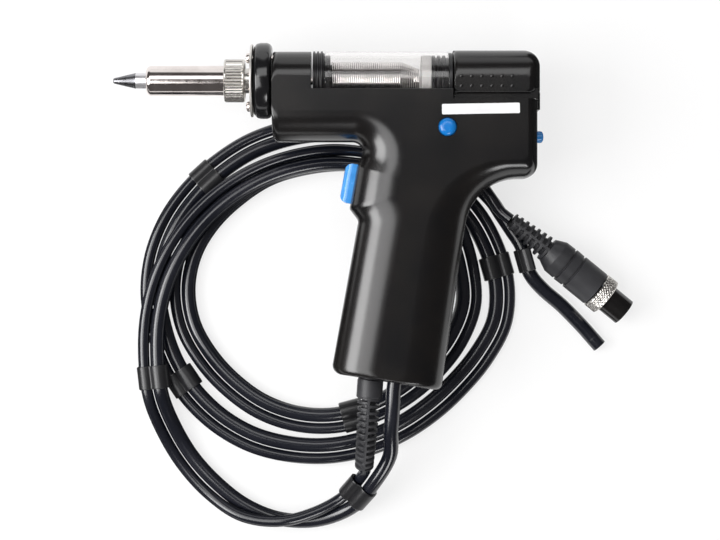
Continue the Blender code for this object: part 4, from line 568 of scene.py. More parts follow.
LOWER_LAYER = (    # (x, y) where it lies on the bench
    (61.5, -28.0), (61.6, -40.0), (57.6, -50.8), (50.9, -61.2), (41.9, -70.8), (30.7, -79.4),
    (17.4, -86.1), (3.0, -89.9), (-11.2, -89.7), (-24.8, -86.4), (-37.8, -78.8), (-48.8, -69.2),
    (-57.8, -57.4), (-63.6, -44.8), (-65.2, -32.0), (-63.5, -20.0), (-59.0, -8.5), (-51.4, 1.5),
    (-42.5, 9.9), (-32.0, 17.5), (-20.0, 22.5), (-6.0, 25.5), (8.5, 26.5), (22.5, 25.0), (37.0, 21.0),
    (50.0, 14.5), (60.5, 5.5), (67.6, -4.6), (72.0, -13.4), (76.0, -26.0), (76.8, -40.6), (72.2, -53.6),
    (64.0, -66.0), (53.6, -77.4), (41.6, -87.6), (27.8, -95.8), (13.0, -101.2), (-3.2, -103.6),
    (-19.0, -102.5), (-33.8, -98.6), (-47.6, -91.0), (-59.0, -80.8), (-68.2, -68.2), (-74.0, -54.5),
    (-77.5, -40.0), (-77.8, -25.5), (-74.5, -11.5), (-68.0, 2.0), (-58.5, 14.0), (-47.0, 24.0),
    (-34.0, 32.0), (-20.0, 37.0), (-4.0, 39.5), (12.0, 40.0), (28.0, 38.0),
)
ARRIVING = (
    (43.0, 33.5, 0, 172), (55.2, 25.2, 0, 140), (65.0, 16.0, 0.2, 105), (71.2, 8.6, 0.2, 92),
)
PAIR_ROUTE = (*LEAVING, *((x, y, 6.8, 180) for x, y in UPPER_LAYER), *DESCENT,
              *((x, y, 0, 180) for x, y in LOWER_LAYER), *ARRIVING)
# The rest of each cord's own way to its far end: (x, y, height of its axis above the bench)
CABLE_FAR = ((75.3, 2.7, 11.0),)
HOSE_FAR = ((75.9, 1.8, 3.2), (81.2, -6.2, 3.7), (85.5, -13.2, 4.7), (88.6, -24.2, 4.7),
            (94.8, -31.8, 3.8), (103.0, -38.8, 3.2), (111.5, -47.4, 3.2), (120.0, -57.0, 3.2))
HOSE_NEAR = ((27.8, -82.0, 29.6), (27.0, -93.5, 27.1), (26.6, -104.0, 23.2))
PLUG_START = (80.3, -1.4, 11.8)   # where the connector's boot starts, above the bench
PLUG_HEADING = radians(-39.0)
# The double clips: each is halfway between this point of the shared route and the next
CLIP_PLACES = (0, 8, 27, 45, 57, 63)


# %% Smooth ways
def smooth_way(points, parts):
    """The given points, with more on the smooth curve between them."""
    points = [Vector(p) for p in points]
    ends = [2 * points[0] - points[1]] + points + [2 * points[-1] - points[-2]]
    made = []
    for a, b, c, d in zip(ends, ends[1:], ends[2:], ends[3:]):
        for k in range(parts):
            t = k / parts
            made.append(0.5 * (2 * b + (c - a) * t + (2 * a - 5 * b + 4 * c - d) * t * t
                               + (3 * b - a - 3 * c + d) * t ** 3))
    made.append(points[-1])
    return made


def evenly(fine, spacing):
    """Points at even steps along a finely drawn way, whose first three numbers are places."""
    lengths = [0.0]
    for a, b in zip(fine, fine[1:]):
        lengths.append(lengths[-1] + (b - a).xyz.length)
    count = round(lengths[-1] / spacing)
    picked, i = [], 0
    for k in range(count + 1):
        want = lengths[-1] * k / count
        while i < len(fine) - 2 and lengths[i + 1] < want:
            i += 1
        share = (want - lengths[i]) / (lengths[i + 1] - lengths[i])
        picked.append(fine[i].lerp(fine[i + 1], min(1.0, share)))
    return picked


def pair_frames():
    """Even steps along the route, each with its place, level heading, heading and turn."""
    route = [Vector((x, y, lift, radians(roll))) for x, y, lift, roll in PAIR_ROUTE]
    steps = evenly(smooth_way(route, parts=12), PAIR_STEP)
    frames = []
    for i, step in enumerate(steps):
        ahead = (steps[min(i + 1, len(steps) - 1)] - steps[max(i - 1, 0)]).xyz
        frames.append((step.xyz, Vector((ahead.x, ahead.y, 0)).normalized(), ahead.normalized(), step.w))
    return frames


def pair_places(frame):
    """Axis points of the lead and the hose at one step of the route."""
    place, flat, heading, roll = frame
    right = Vector((flat.y, -flat.x, 0))
    half_width = CABLE_RADIUS + HOSE_RADIUS + CORD_GAP / 2
    low = max(place.z, 0.0)
    stacked = sin(roll)
    apart = CABLE_RADIUS + HOSE_RADIUS + CORD_GAP * (1 + 5 * stacked)
    hose = place - right * (half_width - HOSE_RADIUS) * cos(roll)
    hose.z = low + HOSE_RADIUS
    lead = place + right * (half_width - CABLE_RADIUS) * cos(roll)
    rise = max(0.0, apart * stacked) / hypot(heading.x, heading.y)
    lead.z = low + (1 - stacked) * CABLE_RADIUS + stacked * HOSE_RADIUS + rise
    return lead, hose


pairs = [pair_places(frame) for frame in pair_frames()]
print("steps of the shared route", len(pairs))

# %% [markdown]
# The gland on the grip bends the lead down towards the bench, so the lead starts where the gland
# ends. The hose comes straight out of the grip beside it.

# %% Where the cords leave the grip
GRIP_TILT = radians(9.2)
GRIP_BASE_X = 48.6
GRIP_BASE_DEPTH = 129.25
CABLE_EXIT = -6.7
HOSE_EXIT = 3.8
BOOT_LENGTH = 40.0
BOOT_COLLAR = 7.7
BOOT_BEND = radians(35.0)
BOOT_TILT = radians(4.0)


def grip_point(along, down, z=0.0):
    """A point of the grip's base: along it towards the back, and down past it."""
    return Vector((GRIP_BASE_X + along * cos(GRIP_TILT) - down * sin(GRIP_TILT),
                   -GRIP_BASE_DEPTH - along * sin(GRIP_TILT) - down * cos(GRIP_TILT), z))


def boot_path(along):
    """A point on the gland's bent axis and its direction."""
    start = grip_point(CABLE_EXIT, 2 * GAP)
    tilt = GRIP_TILT if along <= 0 else BOOT_TILT
    down = Vector((-sin(tilt), -cos(tilt), 0))
    if along <= BOOT_COLLAR:
        return start + down * along, down
    radius = (BOOT_LENGTH - BOOT_COLLAR) / BOOT_BEND
    angle = (along - BOOT_COLLAR) / radius
    drop = Vector((0, 0, -1))
    point = start + down * (BOOT_COLLAR + radius * sin(angle)) + drop * radius * (1 - cos(angle))
    return point, down * cos(angle) + drop * sin(angle)


def on_bench(point):
    """The gun's millimetres to the bench's."""
    return BENCH.inverted() @ (GUN @ Vector(point))


# %% Cords as curves
PLUG_LENGTHS = (21.0, 27.0, 5.8, 10.0)    # boot, body, coupling ring, insert
COUPLING_RADIUS = 8.4


def plug_axis():
    """Direction of the connector, which slopes down until its ring touches the bench."""
    slope = (COUPLING_RADIUS + 0.2 - PLUG_START[2]) / (sum(PLUG_LENGTHS) * 0.8)
    return Vector((cos(PLUG_HEADING), sin(PLUG_HEADING), slope)).normalized()


def round_cord(name, way, radius, paint):
    """A curve with a round section along a way on the bench, finely drawn."""
    points = [BENCH @ p for p in evenly(smooth_way(way, parts=8), 2.5)]
    curve = bpy.data.curves.new(name, "CURVE")
    curve.dimensions = "3D"
    curve.bevel_depth = radius * MM
    curve.bevel_resolution = 5
    curve.use_fill_caps = True
    spline = curve.splines.new("POLY")
    spline.points.add(len(points) - 1)
    for point, place in zip(spline.points, points):
        point.co = (*place, 1.0)
    spline.use_smooth = True
    curve.materials.append(paint)
    piece = bpy.data.objects.new(name, curve)
    scene.collection.objects.link(piece)
    length = sum((b - a).length for a, b in zip(points, points[1:]))
    print(name, "length", round(length, 4), "m in", len(points), "points")
    return piece, length


lead_way = [on_bench(boot_path(BOOT_LENGTH + 2 * GAP)[0])] + [lead for lead, _ in pairs]
lead_way += [Vector(p) for p in CABLE_FAR] + [Vector(PLUG_START) - plug_axis() * 2 * GAP]
lead, lead_length = round_cord("lead", lead_way, CABLE_RADIUS, CORD_SKIN)
HOSE_MOUTH = 5.0
hose_way = [on_bench(grip_point(HOSE_EXIT, down)) for down in (-3.9, 3.0)] + [Vector(p) for p in HOSE_NEAR]
hose_way += [hose for _, hose in pairs] + [Vector(p) for p in HOSE_FAR]
last = (hose_way[-1] - hose_way[-2]).normalized()
hose_way[-1] = hose_way[-1] - last * HOSE_MOUTH
hose, hose_length = round_cord("hose", hose_way, HOSE_RADIUS, CORD_SKIN)

# %% [markdown]
# The hose's far end is cut square and left open, so its last few millimetres are a ring with a
# real bore, set against the curve's closed end.

# %% Open mouth of the hose
BORE = 1.9
mouth = spun([(0.0, HOSE_RADIUS), (HOSE_MOUTH, HOSE_RADIUS), (HOSE_MOUTH, BORE), (0.0, BORE)], hollow=True,
             steps=32, place=hose_way[-1], heading=last, eased=0.25)
hose_mouth = mount(finished("hose_mouth", mouth, CORD_SKIN, BENCH), "gun", slot="cord_skin")
# A near-black disc closes the bore a few millimetres in: painted shade for the hollow hose beyond.
bottom = spun([(0.02, 0), (0.02, BORE + 0.05), (0.12, BORE + 0.05), (0.12, 0)], steps=24,
              place=hose_way[-1], heading=last)
hose_bore_painted_shade = mount(finished("hose_bore_painted_shade", bottom, BORE_PAINTED_SHADE, BENCH), "gun", slot="cord_skin")

# %% [markdown]
# ## The housing
# The gun's body is two moulded halves on one outline. Seen from the side the outline is a pistol;
# seen along the barrel each half is a pillow, upright at the joint and rolled over to a flat side.
# So each half is made of many copies of the outline, each drawn in a little and raised a little,
# bridged one to the next. Every edge has its own softness: the barrel's underside and the grip's
# front roll over widely, the grip's base hardly at all.

# %% Outline of the housing
HOUSING_LENGTH = 113.3
BARREL_TOP = 12.1
BARREL_UNDERSIDE = 26.2
REAR_UNDERSIDE = 42.1
THROAT_X = 41.0
GRIP_WIDTH = 47.8
GRIP_BACK_X = 85.5
WALL = 2.2
EDGE_WALL = 4.0
ROUNDING = 12.5


def turn_at(before, corner, after):
    """Signed angle that the outline turns through at a corner, positive to the left."""
    a = Vector((corner[0] - before[0], corner[1] - before[1]))
    b = Vector((after[0] - corner[0], after[1] - corner[1]))
    turn = acos(max(-1.0, min(1.0, a.normalized().dot(b.normalized()))))
    return turn if a.cross(b) > 0 else -turn


def drawn_in(corners, distance, soft=True, smallest=0.05):
    """Moves every edge of an outline of (x, y, radius, softness) corners inwards."""
    moved = []
    count = len(corners)
    for i, corner in enumerate(corners):
        before, after = corners[i - 1], corners[(i + 1) % count]
        lines = []
        for start, end in ((before, corner), (corner, after)):
            along = Vector((end[0] - start[0], end[1] - start[1])).normalized()
            inward = Vector((-along.y, along.x))
            shift = distance * (start[3] if soft else 1.0)
            lines.append((Vector(start[:2]) + inward * shift, along, shift))
        (p, d, s), (q, e, t) = lines
        point = p + d * ((q - p).cross(e) / d.cross(e))
        convex = d.cross(e) > 0
        radius = corner[2] + (-(s + t) / 2 if convex else (s + t) / 2)
        moved.append((point.x, point.y, max(radius, smallest), corner[3]))
    return moved


def rounded(corners, step=radians(24.0)):
    """The points of an outline, with each corner an arc of its radius."""
    count = len(corners)
    turns = [turn_at(corners[i - 1], corners[i], corners[(i + 1) % count]) for i in range(count)]
    reach = [c[2] * tan(abs(t) / 2) for c, t in zip(corners, turns)]
    for i in range(count):
        nxt = (i + 1) % count
        length = hypot(corners[nxt][0] - corners[i][0], corners[nxt][1] - corners[i][1])
        over = (reach[i] + reach[nxt]) / (0.98 * length)
        if over > 1.0:
            reach[i], reach[nxt] = reach[i] / over, reach[nxt] / over
    points = []
    for i, corner in enumerate(corners):
        here = Vector(corner[:2])
        back = (Vector(corners[i - 1][:2]) - here).normalized()
        ahead = (Vector(corners[(i + 1) % count][:2]) - here).normalized()
        radius = reach[i] / tan(abs(turns[i]) / 2)
        centre = here + (back + ahead).normalized() * radius / cos(turns[i] / 2)
        parts = max(1, ceil(abs(turns[i]) / step))
        start = here + back * reach[i] - centre
        for k in range(parts + 1):
            arm = start.copy()
            arm.rotate(Matrix.Rotation(turns[i] * k / parts, 2))
            points.append(centre + arm)
    return points


def housing_corners():
    """(x, y, radius, softness of the edge that follows) round the housing, to the left."""
    front_foot = grip_point(-GRIP_WIDTH / 2, 0)
    back_foot = grip_point(GRIP_WIDTH / 2, 0)
    return [
        (0, -BARREL_UNDERSIDE, 2.5, 1.0),
        (THROAT_X, -BARREL_UNDERSIDE, 4.5, 1.5),
        (THROAT_X - 4.8, -BARREL_UNDERSIDE - 10.8, 6.0, 1.5),
        (THROAT_X - 8.1, -BARREL_UNDERSIDE - 29.0, 1.5, 1.5),
        (THROAT_X - 4.3, -BARREL_UNDERSIDE - 34.0, 3.0, 1.5),
        (front_foot.x, front_foot.y, 4.0, 0.15),
        (back_foot.x, back_foot.y, 2.5, 1.4),
        (GRIP_BACK_X, -REAR_UNDERSIDE, 23.0, 0.6),
        (HOUSING_LENGTH, -REAR_UNDERSIDE, 6.0, 0.4),
        (HOUSING_LENGTH, BARREL_TOP, 6.0, 0.9),
        (0, BARREL_TOP, 1.0, 0.0),
    ]


def pillow(corners, side, base, half, steps=4, step=radians(24.0), smallest=0.05):
    """A half shell's solid: upright at the joint, then rolled over to a flat side."""
    rings = [(0.0, base)] + [(ROUNDING * (1 - cos(a)), EDGE_WALL + (half - EDGE_WALL) * sin(a))
                             for a in quarter(steps)]
    outlines = []
    for inset, z in rings:
        outline = rounded(drawn_in(corners, inset, True, smallest if inset else 0.05), step)
        outlines.append([(p.x, p.y, side * z) for p in outline])
    return lofted(outlines)


# %% [markdown]
# The halves are hollow, and the barrel's top is cut open twice: a long bay for the glass tube, and
# a lower deck for the sliding cap behind it. Under the trigger, the buttons and the cords are holes
# with a little air round what passes through.

# %% Places along the barrel
TUBE_RADIUS = 12.5
TUBE_WALL = 1.3
BAY_START = 16.5
CRADLE_EDGE = 4.6
SEAL_START = 17.2
SEAL_LIP = 4.9
TUBE_START = SEAL_START + SEAL_LIP + GAP
TUBE_END = TUBE_START + 52.8
CAP_START = TUBE_END + 1.9
CAP_END = CAP_START + 37.3
CAP_TRAVEL = 9.0
CAP_WALL = 2.0
TROUGH_RADIUS = TUBE_RADIUS + 0.5
DECK_DEPTH = 8.9
DECK_THICKNESS = 2.0
FRONT_WALL = 2.5
FAR = 60.0
RAIL_IN, RAIL_OUT, RAIL_LENGTH = 10.4, 11.9, 10.0
RAIL_START = CAP_START + CAP_TRAVEL + 2.0 + GAP
ELBOW_X = CAP_START + 20.9
TRIGGER_LENGTH, TRIGGER_WIDTH, TRIGGER_DEPTH = 17.0, 8.4, 44.6
EDGE_TILT = atan2(3.3, 18.2)
TRIGGER_MIDDLE = Vector((THROAT_X - 8.1 + (BARREL_UNDERSIDE + 29.0 - TRIGGER_DEPTH) * tan(EDGE_TILT),
                         -TRIGGER_DEPTH, 0))
TRIGGER_FRAME = Matrix.Translation(TRIGGER_MIDDLE) @ Matrix.Rotation(-EDGE_TILT, 4, "Z")
RELEASE_DEPTH, RELEASE_RADIUS = 24.2, 2.6
SIDE_BUTTON_X, SIDE_BUTTON_DEPTH, SIDE_BUTTON_RADIUS = 74.4, 20.9, 3.8
SCREW_PLACES = ((7.0, 20.6), (58.0, 27.0), (HOUSING_LENGTH - 8.8, 36.0), (64.0, 118.0))
SCREW_SEAT, BOSS_RADIUS, FLANGE_HOLE = 9.7, 3.9, 1.4
FLANGE_SCREWS = [(12.0 * cos(radians(a)), 12.0 * sin(radians(a))) for a in (42.0, 162.0, 282.0)]


def cavity(side):
    """The room inside one half, less the walls, deck, rib and bosses that stand in it."""
    inside = pillow(drawn_in(OUTLINE, WALL, False), side, -1.0, HALF_THICKNESS - WALL)
    room = finished("room", inside, BLACK_CASE)
    kept = [pin((BAY_START - 2.0, 0, 0), (CAP_START + CAP_TRAVEL + 2.0, 0, 0), TROUGH_RADIUS + 1.6, 48),
            block((-FAR, -FAR, -FAR), (FRONT_WALL, FAR, FAR)),
            block((CAP_START, -DECK_DEPTH - DECK_THICKNESS, -FAR), (HOUSING_LENGTH + FAR, FAR, FAR))]
    kept += [pin((x, -depth, side * GAP / 2), (x, -depth, side * HALF_THICKNESS), BOSS_RADIUS)
             for x, depth in SCREW_PLACES]
    return shaped(room, kept)


def openings(side):
    """The cuts of one half, in the order in which they are made."""
    cuts = [
        block((BAY_START, -CRADLE_EDGE, -FAR), (CAP_START, FAR, FAR)),
        block((CAP_START - GAP, -DECK_DEPTH, -FAR), (HOUSING_LENGTH + FAR, FAR, FAR)),
        pin((BAY_START, 0, 0), (TUBE_END + GAP, 0, 0), TROUGH_RADIUS, 96),
        pin((0, 0, 0), (BAY_START + 1, 0, 0), 1.9),
        pin((-1, 0, 0), (FRONT_WALL + 1, 0, 0), 4.8, 48),
        pin((TUBE_END, 0, 0), (CAP_START + CAP_TRAVEL, 0, 0), TUBE_RADIUS + GAP, 96),
        block((-30, -TRIGGER_LENGTH / 2 - GAP, -TRIGGER_WIDTH / 2 - GAP),
              (4.0, TRIGGER_LENGTH / 2 + GAP, TRIGGER_WIDTH / 2 + GAP), matrix=TRIGGER_FRAME),
        pin((HOUSING_LENGTH - 3.2, -RELEASE_DEPTH, 0), (HOUSING_LENGTH + 1, -RELEASE_DEPTH, 0),
            RELEASE_RADIUS + GAP),
        pin(grip_point(CABLE_EXIT, -4.4), grip_point(CABLE_EXIT, 1.0), 4.3, 48),
        pin(grip_point(HOSE_EXIT, -4.4), grip_point(HOSE_EXIT, 1.0), HOSE_RADIUS + GAP, 48),
        pin((ELBOW_X, -DECK_DEPTH - 3, 0), (ELBOW_X, 0, 0), 2.7),
    ]
    cuts += [pin((-1, y, z), (FRONT_WALL + 1, y, z), FLANGE_HOLE) for y, z in FLANGE_SCREWS]
    cuts.append(block((RAIL_START - GAP, -30, side * (RAIL_IN - GAP)),
                      (RAIL_START + RAIL_LENGTH + CAP_TRAVEL + GAP, 0, side * (RAIL_OUT + GAP))))
    if side > 0:
        button = Vector((SIDE_BUTTON_X, -SIDE_BUTTON_DEPTH, HALF_THICKNESS))
        below, above = button - Vector((0, 0, 4.4)), button + Vector((0, 0, 1))
        return cuts + [pin(below, above, SIDE_BUTTON_RADIUS + GAP, 64)]
    for x, depth in SCREW_PLACES:
        cuts += [pin((x, -depth, 1), (x, -depth, -FAR), 1.65),
                 pin((x, -depth, -SCREW_SEAT), (x, -depth, -FAR), 3.0, 40)]
    return cuts


# %% Two halves
OUTLINE = housing_corners()


def eased_rim(piece, depth, flat, amount=0.3, reach=0.02):
    """Rounds the sharp edges of a flat side that run at one depth below the barrel's axis."""
    bm = bmesh.new()
    bm.from_mesh(piece.data)
    back = GUN.inverted()
    rim = {v for v in bm.verts if max(abs((back @ v.co).z - flat), abs((back @ v.co).y + depth)) < reach}
    edges = [e for e in turning(bm, 50.0) if rim.issuperset(e.verts)]
    rounded_off(bm, edges, amount * MM)
    bm.to_mesh(piece.data)
    bm.free()
    piece.data.set_sharp_from_angle(angle=radians(35.0))
    return len(edges)


def half(name, node, side):
    """One finished half of the housing."""
    shell = finished(name, pillow(OUTLINE, side, GAP / 2, HALF_THICKNESS, 18, radians(5.0), 3.0), BLACK_CASE)
    shaped(shell, [cavity(side)])
    shaped(shell, openings(side))
    eased = [eased_rim(shell, depth, side * HALF_THICKNESS) for depth in (CRADLE_EDGE, DECK_DEPTH)]
    mount(shell, "gun", node, slot="black_case")
    print("eased edges at its bay and its deck", eased)


half("upper_half", "housing_left", 1)
half("lower_half", "housing_right", -1)

# %% [markdown]
# ## The hot end
# A steel sleeve holds the nozzle against the heater, and a knurled nut screws it to the holder.
# All of it is turned, so each piece is one profile spun about the barrel's axis. A lathe
# leaves no razor edges, so each profile's corners are eased a little, which is what catches the light.

# %% Nozzle, sleeve and holder
RING_BACK = -GAP
RING_FRONT = RING_BACK - 8.0
PLATE_BACK = RING_FRONT - GAP
PLATE_FRONT = PLATE_BACK - 0.9
NUT_BACK = PLATE_FRONT - 2.6
NUT_FRONT = NUT_BACK - 8.8
SLEEVE_FRONT = NUT_FRONT - 33.6
NOZZLE_CONE = 9.8
NOZZLE_TIP = SLEEVE_FRONT - 4.5 - NOZZLE_CONE
SLEEVE_RADIUS, THREAD_RADIUS, NOZZLE_RADIUS, NUT_RADIUS = 6.5, 7.3, 3.45, 9.2

lip = SLEEVE_FRONT + 1.5
back = NUT_FRONT + 2.3
inner = SLEEVE_RADIUS - 0.8
shoulder = [(SLEEVE_FRONT + 2.2 * (1 - cos(a)), SLEEVE_RADIUS - 2.2 * (1 - sin(a)))
            for a in quarter(9)]
sleeve = spun(shoulder + [(NUT_FRONT + 1, SLEEVE_RADIUS), (NUT_FRONT + 1, THREAD_RADIUS),
                          (back, THREAD_RADIUS), (back, inner), (lip, inner), (lip, NOZZLE_RADIUS + GAP),
                          (SLEEVE_FRONT, NOZZLE_RADIUS + GAP)], hollow=True, steps=96)
mount(finished("sleeve", sleeve, STEEL), "gun", "nozzle_sleeve", slot="steel")

seat = lip + GAP
tip = spun([(NOZZLE_TIP, 0.6), (NOZZLE_TIP, 0.85), (NOZZLE_TIP + 0.35, 1.2),
            (NOZZLE_TIP + NOZZLE_CONE, NOZZLE_RADIUS), (seat, NOZZLE_RADIUS), (seat, inner - GAP),
            (seat + 1.4, inner - GAP), (seat + 1.4, NOZZLE_RADIUS), (seat + 6.5, NOZZLE_RADIUS),
            (seat + 6.5, 1.9), (seat + 2.5, 1.9), (seat + 2.5, 0.6)], hollow=True, eased=0.12)
nozzle = finished("nozzle_tip", tip, NOZZLE_STEEL)
nozzle.data.materials.append(NOZZLE_BRIGHT)
cone_end = (GUN @ Vector((NOZZLE_TIP + NOZZLE_CONE, 0, 0))).x
for face in nozzle.data.polygons:
    face.material_index = int(face.center.x > cone_end)
mount(nozzle, "gun", "nozzle", slot="dark_steel")

front = back + GAP
holder = spun([(front, THREAD_RADIUS), (NUT_BACK - 0.5, THREAD_RADIUS), (NUT_BACK - 0.5, 5.4),
               (PLATE_BACK + GAP, 5.4), (PLATE_BACK + GAP, THREAD_RADIUS), (RING_BACK - GAP, THREAD_RADIUS),
               (RING_BACK - GAP, 4.5), (3.6, 4.5), (3.6, 4.15), (front, 4.15)], hollow=True, eased=0.1)
mount(finished("holder", holder, BRIGHT_METAL), "gun", "heater_holder", slot="bright_metal")


# %% [markdown]
# The nut is knurled straight: a rim at each end and fine teeth between. Rings are bridged
# one to the next, and each ring's radius follows the teeth, which fade into the rims.

# %% Retaining nut
NUT_TEETH, TEETH_DEPTH, RIM = 40, 0.55, 0.7
front_rings = [(0.0, 0.35, 0), (0.25, 0.0, 0), (RIM, 0.0, 0), (RIM + 0.25, 0.0, 1)]   # place, chamfer, teeth
nut_rings = [(NUT_FRONT + along, chamfer, teeth) for along, chamfer, teeth in front_rings]
nut_rings += [(NUT_BACK - along, chamfer, teeth) for along, chamfer, teeth in reversed(front_rings)]


def knurled(k, angle):
    """Radius of the nut at an angle of one of its rings."""
    _, chamfer, teeth = nut_rings[k]
    wave = (angle * NUT_TEETH / (2 * pi)) % 1.0
    tooth = min(1.0, 2.4 * min(wave, 1 - wave))
    return NUT_RADIUS - chamfer - teeth * TEETH_DEPTH * (1 - tooth)


body = skin([upright((x, 0, 0), (1, 0, 0)) for x, _, _ in nut_rings], NUT_TEETH * 6, knurled)
nut = finished("knurled_nut", body, BRIGHT_METAL, angle=28.0)
bores = [(NUT_FRONT - 1, SLEEVE_RADIUS), (NUT_FRONT + RIM, THREAD_RADIUS)]
shaped(nut, [pin((start, 0, 0), (NUT_BACK + 1, 0, 0), bore + GAP, 96) for start, bore in bores], angle=28.0)
mount(nut, "nut", "retaining_nut", slot="bright_metal")

# %% [markdown]
# Behind the nut a thin plate carries the heater, and three screws pull it against a thick black
# collar. The collar is glossy and round-edged, like a tyre.

# %% Plate, collar and their screws
def with_screw_holes(piece, start, end):
    """Drills a plate for its three screws."""
    return shaped(piece, [pin((start - 1, y, z), (end + 1, y, z), FLANGE_HOLE, 24) for y, z in FLANGE_SCREWS])


def span_of(node, k):
    """Where a CAD node starts and ends along one of the gun's axes, in millimetres."""
    return [(corner[k] - GUN.translation[k]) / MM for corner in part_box(node)]


plate = spun([(PLATE_FRONT, 15.6), (PLATE_BACK, 15.6), (PLATE_BACK, 5.7), (PLATE_FRONT, 5.7)],
             hollow=True, steps=96, eased=0.2)
plate = with_screw_holes(finished("plate", plate, ZINC), PLATE_FRONT, PLATE_BACK)
mount(plate, "gun", "flange_plate", slot="bright_metal")

collar = spun([(RING_FRONT, 13.2), (RING_FRONT + 0.3, 14.6), (RING_FRONT + 1.4, 15.9),
               (RING_FRONT + 3.0, 16.3), (RING_BACK - 2.2, 16.3), (RING_BACK - 0.9, 15.8), (RING_BACK, 14.4),
               (RING_BACK, 7.6), (RING_FRONT, 7.6)], hollow=True, steps=120, eased=0.35, segments=3)
collar = with_screw_holes(finished("collar", collar, BLACK_GLOSS), RING_FRONT, RING_BACK)
mount(collar, "gun", "front_ring", slot="black_gloss")


def screw(name, node, place, heading, head_radius, head, radius, length, turn):
    """A pan-head screw with a cross recess."""
    bm = spun([(0, 0), (0, head_radius * 0.55), (head * 0.25, head_radius * 0.86), (head * 0.6, head_radius),
               (head, head_radius), (head, radius), (head + length - 1, radius), (head + length, 0)],
              steps=40, place=place, heading=heading, eased=0.08)
    made = finished(name, bm, STEEL)
    across = upright(place, heading) @ Matrix.Rotation(turn, 4, "Z")
    reach, width = head_radius * 0.62, head_radius * 0.14
    shaped(made, [block((-x, -y, -1), (x, y, head * 0.55), matrix=across)
                  for x, y in ((reach, width), (width, reach))])
    mount(made, "gun", node, slot="steel")


for number, (y, z) in enumerate(FLANGE_SCREWS, 1):
    start, end = span_of(f"flange_screw_{number}", 0)
    head = PLATE_FRONT - GAP - start
    screw(f"plate_screw_{number}", f"flange_screw_{number}", (start, y, z), (1, 0, 0), 2.2, head,
          1.1, end - start - head, 0.4 * number)
for number, (x, depth) in enumerate(SCREW_PLACES, 1):
    screw(f"case_screw_{number}", f"housing_screw_{number}", (x, -depth, -SCREW_SEAT - GAP - 2.0),
          (0, 0, 1), 2.7, 2.0, 1.35, 20.5, 0.7 * number)

# %% [markdown]
# ## The filter tube
# Solder is drawn into the glass tube and stopped by a coil of steel wire, then by a white paper
# plug. The coil is a real winding: a small round section spun and moved along at once, then
# narrowed towards its nose.

# %% Seals, glass and paper
def ribs(start, pitch, width, low, high):
    """Profile points of a seal's three ribs."""
    return [(start + k * pitch + along, radius) for k in range(3)
            for along, radius in ((0, low), (0.15, high), (width - 0.15, high), (width, low))]


glass_inside = TUBE_RADIUS - TUBE_WALL
lip_bottom = TUBE_RADIUS - 0.6
lip_end = SEAL_START + SEAL_LIP
plug_end = lip_end + 2.6
seal = spun(ribs(SEAL_START, SEAL_LIP / 3, 1.1, lip_bottom, TUBE_RADIUS + 0.2)
            + [(lip_end, lip_bottom), (lip_end, glass_inside - GAP), (plug_end, glass_inside - GAP),
               (plug_end, 6.9), (plug_end + 4.0, 6.9), (plug_end + 4.0, 1.9), (SEAL_START, 1.9)],
            hollow=True, steps=96, eased=0.12)
mount(finished("front_plug", seal, BLACK_RUBBER), "gun", "front_seal", slot="black_rubber")

glass = spun([(TUBE_START, TUBE_RADIUS), (TUBE_END, TUBE_RADIUS), (TUBE_END, glass_inside),
              (TUBE_START, glass_inside)], hollow=True, steps=128, eased=0.25, segments=3)
mount(finished("glass_tube", glass, GLASS), "gun", "filter_tube", slot="clear_glass")

coil_start = plug_end + GAP
coil_end = TUBE_END - 11.9
taper = coil_end - 8.4
wad_start, wad_end = coil_end + GAP, coil_end + GAP + 4.4
wad = spun([(wad_start, glass_inside - GAP), (wad_end, glass_inside - GAP), (wad_end, 2.2), (wad_start, 2.2)],
           hollow=True, steps=96, eased=0.6, segments=3)
mount(finished("paper_plug", wad, FILTER_WHITE), "gun", "ceramic_filter", slot="white_fibre")

# %% Wire coil
WIRE, TURNS, STEPS_A_TURN = 0.4, 46, 32
NARROWING = 0.40
bm = bmesh.new()
section = bmesh.ops.create_circle(bm, segments=8, radius=WIRE, matrix=Matrix.Translation((8.25 - WIRE, 0, 0))
                                  @ Matrix.Rotation(pi / 2, 4, "X"))["verts"]
span = coil_end - coil_start - 2 * WIRE
steps = TURNS * STEPS_A_TURN
bmesh.ops.spin(bm, geom=section + bm.edges[:], cent=(0, 0, 0), axis=(0, 0, 1), dvec=(0, 0, span / steps),
               angle=2 * pi * TURNS, steps=steps)
for edge in [e for e in bm.edges if e.is_boundary]:
    edge.tag = True
bmesh.ops.holes_fill(bm, edges=[e for e in bm.edges if e.tag], sides=12)
bmesh.ops.transform(bm, matrix=upright((coil_start + WIRE, 0, 0), (1, 0, 0)), verts=bm.verts)
for corner in bm.verts:
    if corner.co.x > taper:
        left = 1 - NARROWING * (corner.co.x - taper) / (coil_end - taper)
        corner.co.yz = corner.co.yz * left
coil = finished("wire_coil", bm, WIRE_STEEL, angle=60.0)
mount(coil, "gun", "preliminary_filter", slot="steel")

# %% [markdown]
# ## The sliding cap
# The cap carries the rear seal. It slides back along the deck so that the tube can be lifted out.
# Its sides have two rows of grip marks inside a fine raised line along the front and lower edges, and a
# tab hangs over the gun's rear edge.

# %% Rear seal
start = TUBE_END - 7.0
lip_bottom = glass_inside - 1.2
outlet_end = CAP_START + 13.4
rear = spun(ribs(start, 2.19, 1.45, lip_bottom, glass_inside - GAP)
            + [(TUBE_END + GAP, lip_bottom), (TUBE_END + GAP, TUBE_RADIUS - 0.5),
               (CAP_START - GAP, TUBE_RADIUS - 0.5), (CAP_START - GAP, 3.4), (outlet_end, 3.4),
               (outlet_end, 1.6), (start, 1.6)], hollow=True, steps=96, eased=0.12)
mount(finished("rear_plug", rear, BLACK_RUBBER), "cap", "rear_seal", slot="black_rubber")

